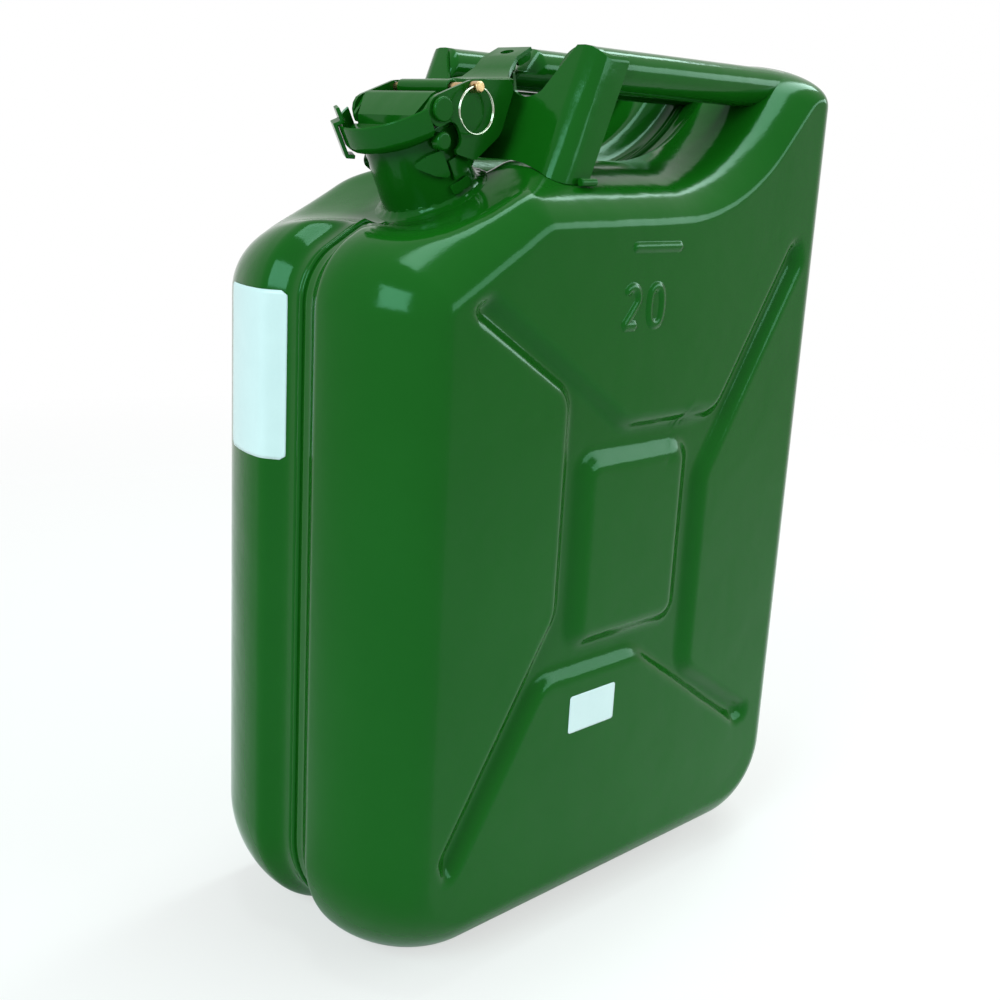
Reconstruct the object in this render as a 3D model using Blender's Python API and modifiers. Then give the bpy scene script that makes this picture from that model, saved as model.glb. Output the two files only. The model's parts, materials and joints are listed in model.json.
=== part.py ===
"""A 20-litre pressed steel fuel can with three carrying bars and a lever closure.

Everything is in metres with +Z up. The origin is the middle of the base, +X points to the
raised rear end and the spout leans forward over the front, -X. The two wide faces look
along -Y and +Y. Pieces of the closure are drawn in the spout's own frame: its origin is the
centre of the spout's base, its Z runs along the spout and its X points back and up.
"""

import math

import bmesh
import bpy
from mathutils import Matrix, Vector

# Fits, cuts and resolution
FIT_GAP = 0.0003
OVERRUN = 0.003
LEAST_RADIUS = 0.0015
CORNER_STEPS = 6
PATTERN_STEPS = 3
EDGE_STEPS = 6
FOLD_STEPS = 4
TURN_STEPS = 32
SMALL_TURN_STEPS = 16
BAR_STEPS = 20
SMOOTH_ANGLE = math.radians(35)

# The two pressed half shells
BODY_WIDTH = 0.343
BODY_DEPTH = 0.164
BODY_HEIGHT = 0.476
SHEET = 0.001
FOOT_RADIUS = 0.063
FRONT_DROP = 0.108
FRONT_RADIUS = 0.040
SHOULDER_REACH = 0.0805
SHOULDER_DROP = 0.060
SHOULDER_RADIUS = 0.040
SCOOP_START = 0.1005
SCOOP_DROP = 0.0565
SCOOP_RADIUS = 0.100
HUMP_LENGTH = 0.0485
HUMP_RADIUS = 0.038
REAR_RADIUS = 0.030
FACE_INSET = 0.033
FACE_START = 0.0045
FACE_POWER = 1.7
FACE_SIDE_SHARES = (1.0, 1.0, 0.6, 0.6, 0.93, 1.0, 1.0)

# The groove along the joint between the half shells, and its weld bead
SEAM_DEPTH = 0.008
SEAM_FLOOR_HALF = 0.010
SEAM_LIP_HALF = 0.021
SEAM_LIP_STEP = 0.0025
BEAD_RADIUS = 0.0015

# The stiffening pattern pressed into each wide face
PATTERN_SIDE_MARGIN = 0.0365
PATTERN_FOOT_MARGIN = 0.051
PATTERN_FRONT_DROP = 0.009
PATTERN_DEPTH = 0.0055
PATTERN_WALL = 0.006
CHANNEL_WIDTH = 0.0145
BOSS_WALL = 0.009
BOSS_RADIUS = 0.014
RING_SHARES = (0.444, 0.4095)
PATTERN_HALF_SHARES = (
    (-0.444, 0.502, 0.09),
    (-1.000, 0.786, 0.05),
    (-0.844, 0.828, 0.05),
    (-0.081, 0.4095, 0.15),
    (0.467, 0.4095, 0.09),
    (0.941, 1.000, 0.05),
    (0.993, 0.869, 0.06),
    (0.444, 0.175, 0.12),
)
BAR_MARK_MARGIN = 0.0018
BAR_MARK_CENTRE = 0.0015
BAR_MARK_HALF_LENGTH = 0.0205
BAR_MARK_HALF_HEIGHT = 0.0035
BAR_MARK_RISE = 0.0012

# The spout, the seat pressed for it, and what is welded to it
SPOUT_LEAN = math.radians(28)
SPOUT_BACK = 0.007
SPOUT_SINK = 0.018
SPOUT_LENGTH = 0.038
SPOUT_ROOT = 0.004
SPOUT_BASE_RADIUS = 0.0250
SPOUT_TOP_RADIUS = 0.0238
SPOUT_WALL = 0.0015
SPOUT_LIP = 0.0008
SPOUT_LIP_HEIGHT = 0.003
SEAT_FLOOR_RADIUS = 0.034
SEAT_SLOPE = math.radians(49)
SEAT_RISE = 0.040
COLLAR_WIDTH = 0.0045
COLLAR_RISE = 0.0030
COLLAR_SHOULDER = 0.0022
SADDLE_LOW = 0.0105
SADDLE_HIGH = 0.0205
SADDLE_FRONT = 0.0025
BAND_SHEET = 0.0015
EAR_SHEET = 0.002
HINGE_BACK = 0.034
HINGE_RISE = 0.026
HINGE_PIN_RADIUS = 0.002
HINGE_HEAD_RADIUS = 0.0036
HINGE_HEAD = 0.0014
HINGE_EYE_RADIUS = 0.0055
EAR_FOOT_LOW = 0.009
EAR_FOOT_HIGH = 0.022
TRUNNION_FORWARD = 0.0045
TRUNNION_RISE = 0.032
TRUNNION_RADIUS = 0.0045
TRUNNION_OUT = 0.0305
LUG_SHARES = (
    (-1.00, 0.86, 0.10),
    (-0.55, 0.28, 0.40),
    (-0.22, 0.02, 0.10),
    (-0.20, 0.96, 0.10),
    (-0.58, 1.00, 0.40),
)
LUG_LENGTH = 0.020
LUG_LOW = 0.0125
LUG_HEIGHT = 0.0155
LUG_SHEET = 0.0022
WELD_PAD_HALF = 0.006
WELD_PAD_LOW = 0.0042
WELD_PAD_HIGH = 0.0092
WELD_PAD_THICK = 0.0015

# The lid and what is fixed to it
LID_RADIUS = 0.032
LID_SHEET = 0.0012
LID_RIM_TOP = 0.0505
LID_FLOOR = 0.0415
LID_SKIRT_LOW = 0.0366
LID_SKIRT_TURN = 0.0020
LID_FRONT_LENGTH = 0.0085
LID_REAR_STEP = 0.005
GASKET_RADIUS = 0.0258
GASKET_THICK = 0.0017
CLAMP_RADIUS = 0.017
CLAMP_THICK = 0.0011
RIVET_RADIUS = 0.0025
RIVET_HEAD_RADIUS = 0.0045
RIVET_HEAD = 0.0013
RIVET_FIT = 0.0003
STRAP_HALF_WIDTH = 0.0125
STRAP_SHEET = 0.002
STRAP_TOP = 0.0425
STRAP_BEND = 0.036
BRIDGE_SHEET = 0.0016
BRIDGE_HALF_WIDTH = 0.0250
BRIDGE_FOOT_HALF_WIDTH = 0.0210
BRIDGE_FOOT_LENGTH = 0.0055
BRIDGE_FOOT_FORWARD = 0.0175
BRIDGE_FLARE = (-0.0098, 0.0470)
BRIDGE_TOP = (0.0010, 0.0525)
BRIDGE_RETURN = 0.003
BRIDGE_EAR_BACK = 0.0090
BRIDGE_EAR_RADIUS = 0.005
CLIP_ANGLE = math.radians(152)
CLIP_HALF_WIDTH = 0.0038
CLIP_SHEET = 0.0020
CLIP_TAB = 0.0070
CLIP_HOOK = 0.0035

# The lever frame, its pivot, and the safety pin through it
PIVOT_BACK = 0.0004
PIVOT_RISE = 0.046
PIVOT_RADIUS = 0.003
PIVOT_HEAD_RADIUS = 0.0060
PIVOT_HEAD = 0.0022
PIVOT_INNER_RADIUS = 0.0042
CHEEK_INSIDE = 0.0273
CHEEK_SHEET = 0.002
CHEEK_LENGTH = 0.050
CHEEK_HEIGHT = 0.032
CHEEK_LOBE_RADIUS = 0.008
HOOK_GAP = 0.0025
CHEEK_SHARES = (
    (0.20, -0.98, 0.06),
    (0.61, -0.87, 0.24),
    (0.99, -0.32, 0.12),
    (0.92, -0.19, 0.06),
    (0.45, 0.134, 0.24),
)
PLATE_SHARES = (
    (0.672, -0.043, 0.97),
    (0.905, -0.230, 0.96),
    (1.038, -0.302, 0.92),
)
TONGUE_LENGTH = 0.0307
TONGUE_RISE = 0.0038
TONGUE_SHEET = 0.002
TONGUE_SHARES = (
    (0.163, -0.18, 0.60),
    (0.404, 0.33, 0.48),
    (0.622, 1.00, 0.45),
    (1.000, 1.00, 0.43),
)
TONGUE_LIP = 0.0045
TONGUE_HOLE_RADIUS = 0.0024
TONGUE_HOLE_HALF_LENGTH = 0.0022
PIN_BACK = 0.0228
PIN_RISE = 0.0468
PIN_RADIUS = 0.0022
PIN_HEAD_RADIUS = 0.0028
PIN_HEAD = 0.006
PIN_TIP = 0.0315
SPACER_RADIUS = 0.0038
SPACER_NEAR = 0.0150
SPACER_FAR = 0.0230
RING_RADIUS = 0.0108
RING_WIRE = 0.0007
RING_HOLE = 0.0013
RING_EYE_OUT = 0.0034

# The carrying bars and the folded bracket at their front ends
BAR_RADIUS = 0.011
BAR_PITCH = 0.050
BAR_END_SHARE = 0.50
BAR_DROP = 0.0025
BRACKET_BACK = 0.034
BRACKET_LEAN = math.radians(22.5)
BRACKET_SHEET = 0.002
BRACKET_HALF_WIDTH = 0.0635
BRACKET_FLANGE = 0.022
BRACKET_FOLD = 0.011
FOLD_ROOM_SHARE = 0.97
BRACKET_NOTCH_DROP = 0.028
BRACKET_NOTCH_RADIUS = 0.016
BRACKET_NOTCH_FLARE = math.radians(38)
BRACKET_TOP_RADIUS = 0.012
POST_DROP = 0.016
POST_HALF_WIDTH = 0.016
TONGUE_ROOM = 0.0655
FOOT_WELD_RADIUS = 0.0022

# The breather pipe inside
BREATHER_RADIUS = 0.0035
BREATHER_WALL = 0.001
BREATHER_TOP = 0.030
BREATHER_DROP = 0.022
BREATHER_RUN_DROP = 0.026
BREATHER_END_FORWARD = 0.040
BREATHER_END_DROP = 0.028
BREATHER_BEND = 0.018


# Colours and finishes
PAINT = ("green_paint", (0.018, 0.105, 0.024), 0.18, 0.0)
BRASS = ("brass", (0.55, 0.36, 0.16), 0.30, 1.0)
BRIGHT_WIRE = ("bright_wire", (0.70, 0.72, 0.62), 0.22, 1.0)
RUBBER = ("black_rubber", (0.02, 0.02, 0.02), 0.75, 0.0)
BARE_STEEL = ("bare_steel", (0.45, 0.45, 0.44), 0.40, 1.0)


def clear_scene():
    for obj in list(bpy.data.objects):
        bpy.data.objects.remove(obj, do_unlink=True)


def new_collection(name):
    collection = bpy.data.collections.new(name)
    bpy.context.scene.collection.children.link(collection)
    return collection


def material(name, colour, roughness, metallic):
    found = bpy.data.materials.get(name)
    if found:
        return found
    made = bpy.data.materials.new(name)
    made.use_nodes = True
    shader = made.node_tree.nodes["Principled BSDF"]
    shader.inputs["Base Color"].default_value = (*colour, 1.0)
    shader.inputs["Roughness"].default_value = roughness
    shader.inputs["Metallic"].default_value = metallic
    return made


clear_scene()
CAN = new_collection("jerry_can")
CUTTERS = new_collection("cutters")
CUTTERS.hide_render = True

# Places that follow from those sizes
HALF_WIDTH = BODY_WIDTH / 2
HALF_DEPTH = BODY_DEPTH / 2
FRONT_HEIGHT = BODY_HEIGHT - FRONT_DROP
FACE_REACH = HALF_DEPTH - SEAM_LIP_HALF - SEAM_LIP_STEP - FACE_START
SHOULDER_X = SHOULDER_REACH - HALF_WIDTH
SHOULDER_HEIGHT = BODY_HEIGHT - SHOULDER_DROP
BRACKET_X = SHOULDER_X + BRACKET_BACK
SPOUT_PLACE = (SHOULDER_X + SPOUT_BACK, 0, SHOULDER_HEIGHT - SPOUT_SINK)
SPOUT = Matrix.Translation(SPOUT_PLACE) @ Matrix.Rotation(-SPOUT_LEAN, 4, "Y")


# Objects, and the operations they share


def add_object(name, data, frame=None, finish=None, parent=None):
    """A named object standing at a frame, with its finish, and on its parent where it has one."""
    obj = bpy.data.objects.new(name, data)
    CAN.objects.link(obj)
    if finish:
        data.materials.append(material(*finish))
    if parent:
        obj.parent = parent
        obj.matrix_parent_inverse = parent.matrix_world.inverted()
    obj.matrix_basis = frame or Matrix.Identity(4)
    bpy.context.view_layer.update()
    return obj


def add_axis(name, frame, parent=None):
    """An empty on a joint's axis, which carries what turns or slides there."""
    return add_object(name, None, frame, parent=parent)


def as_cutter(obj):
    CAN.objects.unlink(obj)
    CUTTERS.objects.link(obj)
    obj.hide_render = True
    obj.display_type = "WIRE"
    return obj


def to_mesh(obj):
    """A mesh object with the evaluated shape, in place of a curve or of an object with modifiers."""
    bpy.context.view_layer.update()
    evaluated = obj.evaluated_get(bpy.context.evaluated_depsgraph_get())
    mesh = bpy.data.meshes.new_from_object(evaluated)
    bm = bmesh.new()
    bm.from_mesh(mesh)
    bmesh.ops.remove_doubles(bm, verts=bm.verts, dist=FIT_GAP / 100)
    bmesh.ops.recalc_face_normals(bm, faces=bm.faces)
    bm.to_mesh(mesh)
    bm.free()
    name, parent, inverse = obj.name, obj.parent, obj.matrix_parent_inverse.copy()
    basis = obj.matrix_basis.copy()
    bpy.data.objects.remove(obj, do_unlink=True)
    made = bpy.data.objects.new(name, mesh)
    CAN.objects.link(made)
    made.parent = parent
    made.matrix_parent_inverse = inverse
    made.matrix_basis = basis
    bpy.context.view_layer.update()
    return made


def boolean(obj, other, operation):
    modifier = obj.modifiers.new(f"{operation.lower()} {other.name}", "BOOLEAN")
    modifier.operation = operation
    modifier.object = other
    return obj


def cut(obj, *cutters):
    for cutter in cutters:
        boolean(obj, as_cutter(cutter) if cutter.name in CAN.objects else cutter, "DIFFERENCE")
    return obj


def join(obj, *others):
    """One body out of several that overlap."""
    for other in others:
        boolean(obj, other, "UNION")
    made = to_mesh(obj)
    for other in others:
        bpy.data.objects.remove(other, do_unlink=True)
    return made


def smooth(obj):
    obj.data.shade_smooth()
    obj.data.set_sharp_from_angle(angle=SMOOTH_ANGLE)
    return obj


def turned(name, profile, finish=None, frame=SPOUT, parent=None, steps=TURN_STEPS, closed=True):
    """A profile of (radius, height) points turned about Z: down its outer side, top to bottom."""
    mesh = bpy.data.meshes.new(name)
    edges = [(i, i + 1) for i in range(len(profile) - 1)]
    if closed:
        edges.append((len(profile) - 1, 0))
    mesh.from_pydata([(radius, 0, height) for radius, height in profile], edges, [])
    obj = add_object(name, mesh, frame, finish, parent)
    screw = obj.modifiers.new("turn", "SCREW")
    screw.steps = steps
    screw.render_steps = steps
    screw.use_merge_vertices = True
    screw.merge_threshold = FIT_GAP / 30
    screw.use_smooth_shade = True
    return obj


def plate(name, outline, thickness, finish=None, frame=SPOUT, across=0.0, parent=None):
    """A flat sheet of (x, z) outline points, its middle plane at y = across in the frame."""
    curve = bpy.data.curves.new(name, "CURVE")
    curve.dimensions = "2D"
    curve.fill_mode = "BOTH"
    curve.extrude = thickness / 2
    spline = curve.splines.new("POLY")
    spline.points.add(len(outline) - 1)
    for point, (x, z) in zip(spline.points, outline):
        point.co = (x, z, 0, 1)
    spline.use_cyclic_u = True
    upright = Matrix.Translation((0, across, 0)) @ Matrix.Rotation(math.radians(90), 4, "X")
    return to_mesh(add_object(name, curve, frame @ upright, finish, parent))


def rod(name, radius, start, end, finish=None, frame=SPOUT, parent=None, steps=SMALL_TURN_STEPS):
    """A round bar from one point to another."""
    start, end = Vector(start), Vector(end)
    mesh = bpy.data.meshes.new(name)
    bm = bmesh.new()
    length = (end - start).length
    bmesh.ops.create_cone(bm, cap_ends=True, segments=steps, radius1=radius, radius2=radius, depth=length)
    bm.to_mesh(mesh)
    bm.free()
    aim = (end - start).to_track_quat("Z", "Y").to_matrix().to_4x4()
    return add_object(name, mesh, frame @ Matrix.Translation((start + end) / 2) @ aim, finish, parent)


def block(name, low, high, frame=None):
    """A box between two corners."""
    low, high = Vector(low), Vector(high)
    mesh = bpy.data.meshes.new(name)
    bm = bmesh.new()
    size = Matrix.Diagonal((*(high - low), 1.0))
    bmesh.ops.create_cube(bm, size=1.0, matrix=Matrix.Translation((low + high) / 2) @ size)
    bm.to_mesh(mesh)
    bm.free()
    return add_object(name, mesh, frame)


def folded_sheet(name, path, thickness, finish=None, frame=SPOUT, parent=None):
    """A strip bent along (x, z, half width) points, with Solidify for its thickness."""
    mesh = bpy.data.meshes.new(name)
    points = []
    for x, z, half in path:
        points.append((x, -half, z))
        points.append((x, half, z))
    faces = [(2 * i, 2 * i + 1, 2 * i + 3, 2 * i + 2) for i in range(len(path) - 1)]
    mesh.from_pydata(points, [], faces)
    obj = add_object(name, mesh, frame, finish, parent)
    solidify = obj.modifiers.new("thickness", "SOLIDIFY")
    solidify.thickness = thickness
    solidify.offset = 0.0
    solidify.use_even_offset = True
    return obj


def wire(name, points, radius, finish=None, frame=None, parent=None, cyclic=False, resolution=2):
    curve = bpy.data.curves.new(name, "CURVE")
    curve.dimensions = "3D"
    curve.bevel_depth = radius
    curve.bevel_resolution = resolution
    curve.use_fill_caps = not cyclic
    spline = curve.splines.new("POLY")
    spline.points.add(len(points) - 1)
    for point, place in zip(spline.points, points):
        point.co = (*place, 1)
    spline.use_cyclic_u = cyclic
    return to_mesh(add_object(name, curve, frame, finish, parent))


# Flat geometry


def left_of(way):
    return Vector((-way.y, way.x))


def turned_by(vector, angle):
    return Matrix.Rotation(angle, 2) @ vector


def rounded_outline(corners, inset=0.0, steps=CORNER_STEPS):
    """An anticlockwise polygon of (x, z, radius), its sides moved in and its corners rounded.

    The inset is one length, or one for the side after each corner. A moved corner keeps its
    arc's centre, so its radius shrinks outside and grows inside.
    """
    count = len(corners)
    insets = inset if isinstance(inset, list) else [inset] * count
    given = [Vector(corner[:2]) for corner in corners]
    ways = [(given[(i + 1) % count] - given[i]).normalized() for i in range(count)]
    points, radii, turns, reaches = [], [], [], []
    for i, corner in enumerate(corners):
        before, after = ways[i - 1], ways[i]
        turn = math.atan2(before.x * after.y - before.y * after.x, before.dot(after))
        moved_before = given[i] + left_of(before) * insets[i - 1]
        moved_after = given[i] + left_of(after) * insets[i]
        points.append(crossing(moved_before, moved_before + before, moved_after, moved_after + after))
        mean_inset = (insets[i - 1] + insets[i]) / 2
        radius = max(corner[2] - math.copysign(mean_inset, turn), LEAST_RADIUS)
        turns.append(turn)
        radii.append(radius)
        reaches.append(radius * math.tan(abs(turn) / 2))
    outline = []
    for i in range(count):
        room = []
        for j in (i - 1, i):
            side = (points[(j + 1) % count] - points[j]).length
            wanted = reaches[j] + reaches[(j + 1) % count]
            room.append(min(1.0, 0.98 * side / wanted))
        shrink = min(room)
        radius = radii[i] * shrink
        before = ways[i - 1]
        towards = math.copysign(1, turns[i])
        spoke = left_of(before) * -towards * radius
        centre = points[i] - before * reaches[i] * shrink - spoke
        for step in range(steps + 1):
            outline.append(centre + turned_by(spoke, turns[i] * step / steps))
    return outline


def crossing(a, b, c, d):
    """Where the line through a and b meets the line through c and d."""
    along, other = b - a, d - c
    share = ((c - a).x * other.y - (c - a).y * other.x) / (along.x * other.y - along.y * other.x)
    return a + along * share


def arc(centre, radius, start, end, steps):
    """Points on an arc, with its angles in degrees."""
    points = []
    for step in range(steps + 1):
        angle = math.radians(start + (end - start) * step / steps)
        points.append((centre[0] + radius * math.cos(angle), centre[1] + radius * math.sin(angle)))
    return points


# The outline of the can seen from its wide side

BODY_CORNERS = (
    (-HALF_WIDTH, 0, FOOT_RADIUS),
    (HALF_WIDTH, 0, FOOT_RADIUS),
    (HALF_WIDTH, BODY_HEIGHT, REAR_RADIUS),
    (HALF_WIDTH - HUMP_LENGTH, BODY_HEIGHT, HUMP_RADIUS),
    (HALF_WIDTH - SCOOP_START, BODY_HEIGHT - SCOOP_DROP, SCOOP_RADIUS),
    (SHOULDER_X, SHOULDER_HEIGHT, SHOULDER_RADIUS),
    (-HALF_WIDTH, FRONT_HEIGHT, FRONT_RADIUS),
)
SEAM_EDGE = BEAD_RADIUS + FIT_GAP


def valley_height(x):
    """The height of the nearly level valley floor between the spout and the scoop."""
    x0, z0, _ = BODY_CORNERS[5]
    x1, z1, _ = BODY_CORNERS[4]
    return z0 + (z1 - z0) * (x - x0) / (x1 - x0)


# Each half shell is a loft of the outline, from the groove's floor to the wide face


def edge_ring(step, grow=0.0):
    """A ring on the rounded edge of a wide face: its distance from the middle plane, and insets.

    The section is a quarter of a superellipse: level at the narrow side, upright at the face.
    """
    angle = math.radians(90) * step / EDGE_STEPS
    power = 2 / FACE_POWER
    out = HALF_DEPTH - FACE_REACH + (FACE_REACH + grow) * math.sin(angle) ** power
    inset = FACE_INSET * (1 - math.cos(angle) ** power)
    return out, [inset * share - grow for share in FACE_SIDE_SHARES]


def edge_inset(out):
    """How far the rounded edge has drawn in at a distance from the middle plane."""
    reach = (out - HALF_DEPTH + FACE_REACH) / FACE_REACH
    return FACE_INSET * (1 - (1 - reach**FACE_POWER) ** (1 / FACE_POWER))


def shell_rings():
    """(distance from the middle plane, inset of the outline) from the seam to the wide face."""
    lip_slope = SEAM_DEPTH / (SEAM_LIP_HALF - SEAM_FLOOR_HALF)
    rings = [
        (SEAM_EDGE, SEAM_DEPTH),
        (SEAM_FLOOR_HALF, SEAM_DEPTH),
        (SEAM_LIP_HALF - SEAM_LIP_STEP, SEAM_LIP_STEP * lip_slope),
        (SEAM_LIP_HALF + SEAM_LIP_STEP, 0),
    ]
    rings.extend(edge_ring(step) for step in range(EDGE_STEPS + 1))
    return rings


def pattern_size():
    """The pattern's middle height, half width and half height, from its margins.

    Its foot and the tip of its front wing, a share of the half height up, fix both heights.
    """
    tip_share = PATTERN_HALF_SHARES[2][1]
    tip = FRONT_HEIGHT - PATTERN_FRONT_DROP
    half_height = (tip - PATTERN_FOOT_MARGIN) / (1 + tip_share)
    return PATTERN_FOOT_MARGIN + half_height, HALF_WIDTH - PATTERN_SIDE_MARGIN, half_height


PATTERN_HEIGHT, PATTERN_HALF_WIDTH, PATTERN_HALF_HEIGHT = pattern_size()


def pattern_corners():
    """The pinwheel recess: half its corners, and the same turned by half a turn."""
    half = [
        (x * PATTERN_HALF_WIDTH, z * PATTERN_HALF_HEIGHT, radius * PATTERN_HALF_WIDTH)
        for x, z, radius in PATTERN_HALF_SHARES
    ]
    whole = half + [(-x, -z, radius) for x, z, radius in half]
    return [(x, z + PATTERN_HEIGHT, radius) for x, z, radius in reversed(whole)]


def rectangle(centre_x, centre_z, half_width, half_height, radius):
    return (
        (centre_x - half_width, centre_z - half_height, radius),
        (centre_x + half_width, centre_z - half_height, radius),
        (centre_x + half_width, centre_z + half_height, radius),
        (centre_x - half_width, centre_z + half_height, radius),
    )


def ring_of_edges(bm, outline, y):
    """A closed loop of points at one depth: its vertices and its edges."""
    verts = [bm.verts.new((x, y, z)) for x, z in outline]
    edges = [bm.edges.new((verts[i - 1], verts[i])) for i in range(len(verts))]
    return verts, edges


def wall_between(bm, lower, upper):
    """A band of faces between two loops with as many points."""
    for i in range(len(lower)):
        bm.faces.new((lower[i - 1], lower[i], upper[i], upper[i - 1]))


def fill(bm, *loops):
    edges = [edge for loop in loops for edge in loop]
    bmesh.ops.triangle_fill(bm, edges=edges, use_beauty=True)


def half_block(name, side):
    """One half of the can as a closed solid, with its pressed wide face."""
    bm = bmesh.new()
    loops = []
    for out, inset in shell_rings():
        loops.append(ring_of_edges(bm, rounded_outline(BODY_CORNERS, inset), side * out))
    for (lower, _), (upper, _) in zip(loops, loops[1:]):
        wall_between(bm, lower, upper)
    bm.faces.new(loops[0][0])
    face_y = side * HALF_DEPTH
    floor_y = side * (HALF_DEPTH - PATTERN_DEPTH)
    mark_y = side * (HALF_DEPTH + BAR_MARK_RISE)
    recess = pattern_corners()
    steps = PATTERN_STEPS
    recess_top = ring_of_edges(bm, rounded_outline(recess, steps=steps), face_y)
    recess_floor = ring_of_edges(bm, rounded_outline(recess, PATTERN_WALL, steps), floor_y)
    wall_between(bm, recess_top[0], recess_floor[0])
    boss_half_width = RING_SHARES[0] * PATTERN_HALF_WIDTH - CHANNEL_WIDTH
    boss_half_height = RING_SHARES[1] * PATTERN_HALF_HEIGHT - CHANNEL_WIDTH
    boss = rectangle(0, PATTERN_HEIGHT, boss_half_width, boss_half_height, BOSS_RADIUS)
    boss_foot = ring_of_edges(bm, rounded_outline(boss), floor_y)
    boss_top = ring_of_edges(bm, rounded_outline(boss, BOSS_WALL), face_y)
    wall_between(bm, boss_foot[0], boss_top[0])
    mark_half = BAR_MARK_HALF_HEIGHT
    flat_top = SHOULDER_HEIGHT - FACE_INSET * FACE_SIDE_SHARES[4]
    mark_z = flat_top - BAR_MARK_MARGIN - mark_half
    mark = rectangle(BAR_MARK_CENTRE, mark_z, BAR_MARK_HALF_LENGTH, mark_half, mark_half)
    mark_foot = ring_of_edges(bm, rounded_outline(mark, steps=2), face_y)
    mark_top = ring_of_edges(bm, rounded_outline(mark, BAR_MARK_RISE, steps=2), mark_y)
    wall_between(bm, mark_foot[0], mark_top[0])
    fill(bm, loops[-1][1], recess_top[1], mark_foot[1])
    fill(bm, recess_floor[1], boss_foot[1])
    fill(bm, boss_top[1])
    fill(bm, mark_top[1])
    bmesh.ops.recalc_face_normals(bm, faces=bm.faces)
    mesh = bpy.data.meshes.new(name)
    bm.to_mesh(mesh)
    bm.free()
    return add_object(name, mesh)


def hull_cutter(name, grow):
    """The whole can without its groove and pattern, grown by a gap, to fit pieces onto it."""
    bm = bmesh.new()
    rings = [edge_ring(step, grow) for step in range(EDGE_STEPS + 1)]
    loops = []
    for out, insets in [(-out, insets) for out, insets in reversed(rings)] + rings:
        loops.append(ring_of_edges(bm, rounded_outline(BODY_CORNERS, insets), out)[0])
    for lower, upper in zip(loops, loops[1:]):
        wall_between(bm, lower, upper)
    bm.faces.new(loops[0])
    bm.faces.new(loops[-1])
    bmesh.ops.recalc_face_normals(bm, faces=bm.faces)
    mesh = bpy.data.meshes.new(name)
    bm.to_mesh(mesh)
    bm.free()
    return add_object(name, mesh)


def seat_cutter():
    """The cone that presses the spout's seat into the shoulder, open upwards."""
    top_radius = SEAT_FLOOR_RADIUS + SEAT_RISE * math.tan(SEAT_SLOPE)
    profile = [(0, SEAT_RISE), (top_radius, SEAT_RISE), (SEAT_FLOOR_RADIUS, 0), (0, 0)]
    return turned("seat_cutter", profile, closed=False)


def spout_hole_cutter():
    radius = SPOUT_BASE_RADIUS + FIT_GAP
    return rod("spout_hole_cutter", radius, (0, 0, -SEAT_RISE), (0, 0, SEAT_RISE), steps=TURN_STEPS)


def on_seam(face):
    return all(abs(abs(vert.co.y) - SEAM_EDGE) < FIT_GAP / 10 for vert in face.verts)


def shells():
    """The two pressings: closed halves, opened along the seam and given the sheet's thickness."""
    seat = as_cutter(seat_cutter())
    hole = as_cutter(spout_hole_cutter())
    for name, side in (("shell_near", -1), ("shell_far", 1)):
        half = to_mesh(cut(half_block(name, side), seat))
        bm = bmesh.new()
        bm.from_mesh(half.data)
        seam = [face for face in bm.faces if on_seam(face)]
        bmesh.ops.delete(bm, geom=seam, context="FACES")
        bm.to_mesh(half.data)
        bm.free()
        half.data.materials.append(material(*PAINT))
        solidify = half.modifiers.new("sheet", "SOLIDIFY")
        solidify.thickness = SHEET
        solidify.offset = -1.0
        solidify.use_even_offset = True
        solidify.use_quality_normals = True
        cut(half, hole)
        smooth(half)


def seam_weld():
    """The bead between the shells' edges: round the outline and down the seat's front wall."""
    middle = SEAM_DEPTH + SHEET / 2
    ring = rounded_outline(BODY_CORNERS, middle)
    into_spout = SPOUT.inverted()
    keep_out = SPOUT_BASE_RADIUS + FIT_GAP + BEAD_RADIUS + FIT_GAP
    front_stop = SPOUT_BASE_RADIUS + COLLAR_WIDTH + FIT_GAP + BEAD_RADIUS

    def in_seat(point):
        place = into_spout @ Vector((point.x, 0, point.y))
        wall = SEAT_FLOOR_RADIUS + max(place.z, 0) * math.tan(SEAT_SLOPE)
        return -middle < place.z and abs(place.x) < wall

    def in_can(u, h):
        place = SPOUT @ Vector((u, 0, h))
        return Vector((place.x, place.z))

    inside = [i for i, point in enumerate(ring) if in_seat(point)]
    first, last = inside[0], inside[-1]
    path = ring[last + 1 :] + ring[:first]
    back_u = keep_out
    rear_end = crossing(in_can(back_u, 0), in_can(back_u, SEAT_RISE), ring[first - 1], ring[first])
    floor = -SHEET / 2
    corner_u = -(SEAT_FLOOR_RADIUS + SHEET / 2)
    corner = in_can(corner_u, floor)
    up_wall = in_can(corner_u - SEAT_RISE * math.tan(SEAT_SLOPE), floor + SEAT_RISE)
    top = crossing(corner, up_wall, ring[last], ring[(last + 1) % len(ring)])
    path = [in_can(-front_stop, floor), corner, top, *path, rear_end]
    places = [(point.x, 0, point.y) for point in path]
    return smooth(wire("seam_weld", places, BEAD_RADIUS, PAINT, resolution=1))


# The spout and what is welded to it


def spout_radius(h):
    """The spout's outside at a height: it narrows a little upwards."""
    return SPOUT_BASE_RADIUS + (SPOUT_TOP_RADIUS - SPOUT_BASE_RADIUS) * h / SPOUT_LENGTH


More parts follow.
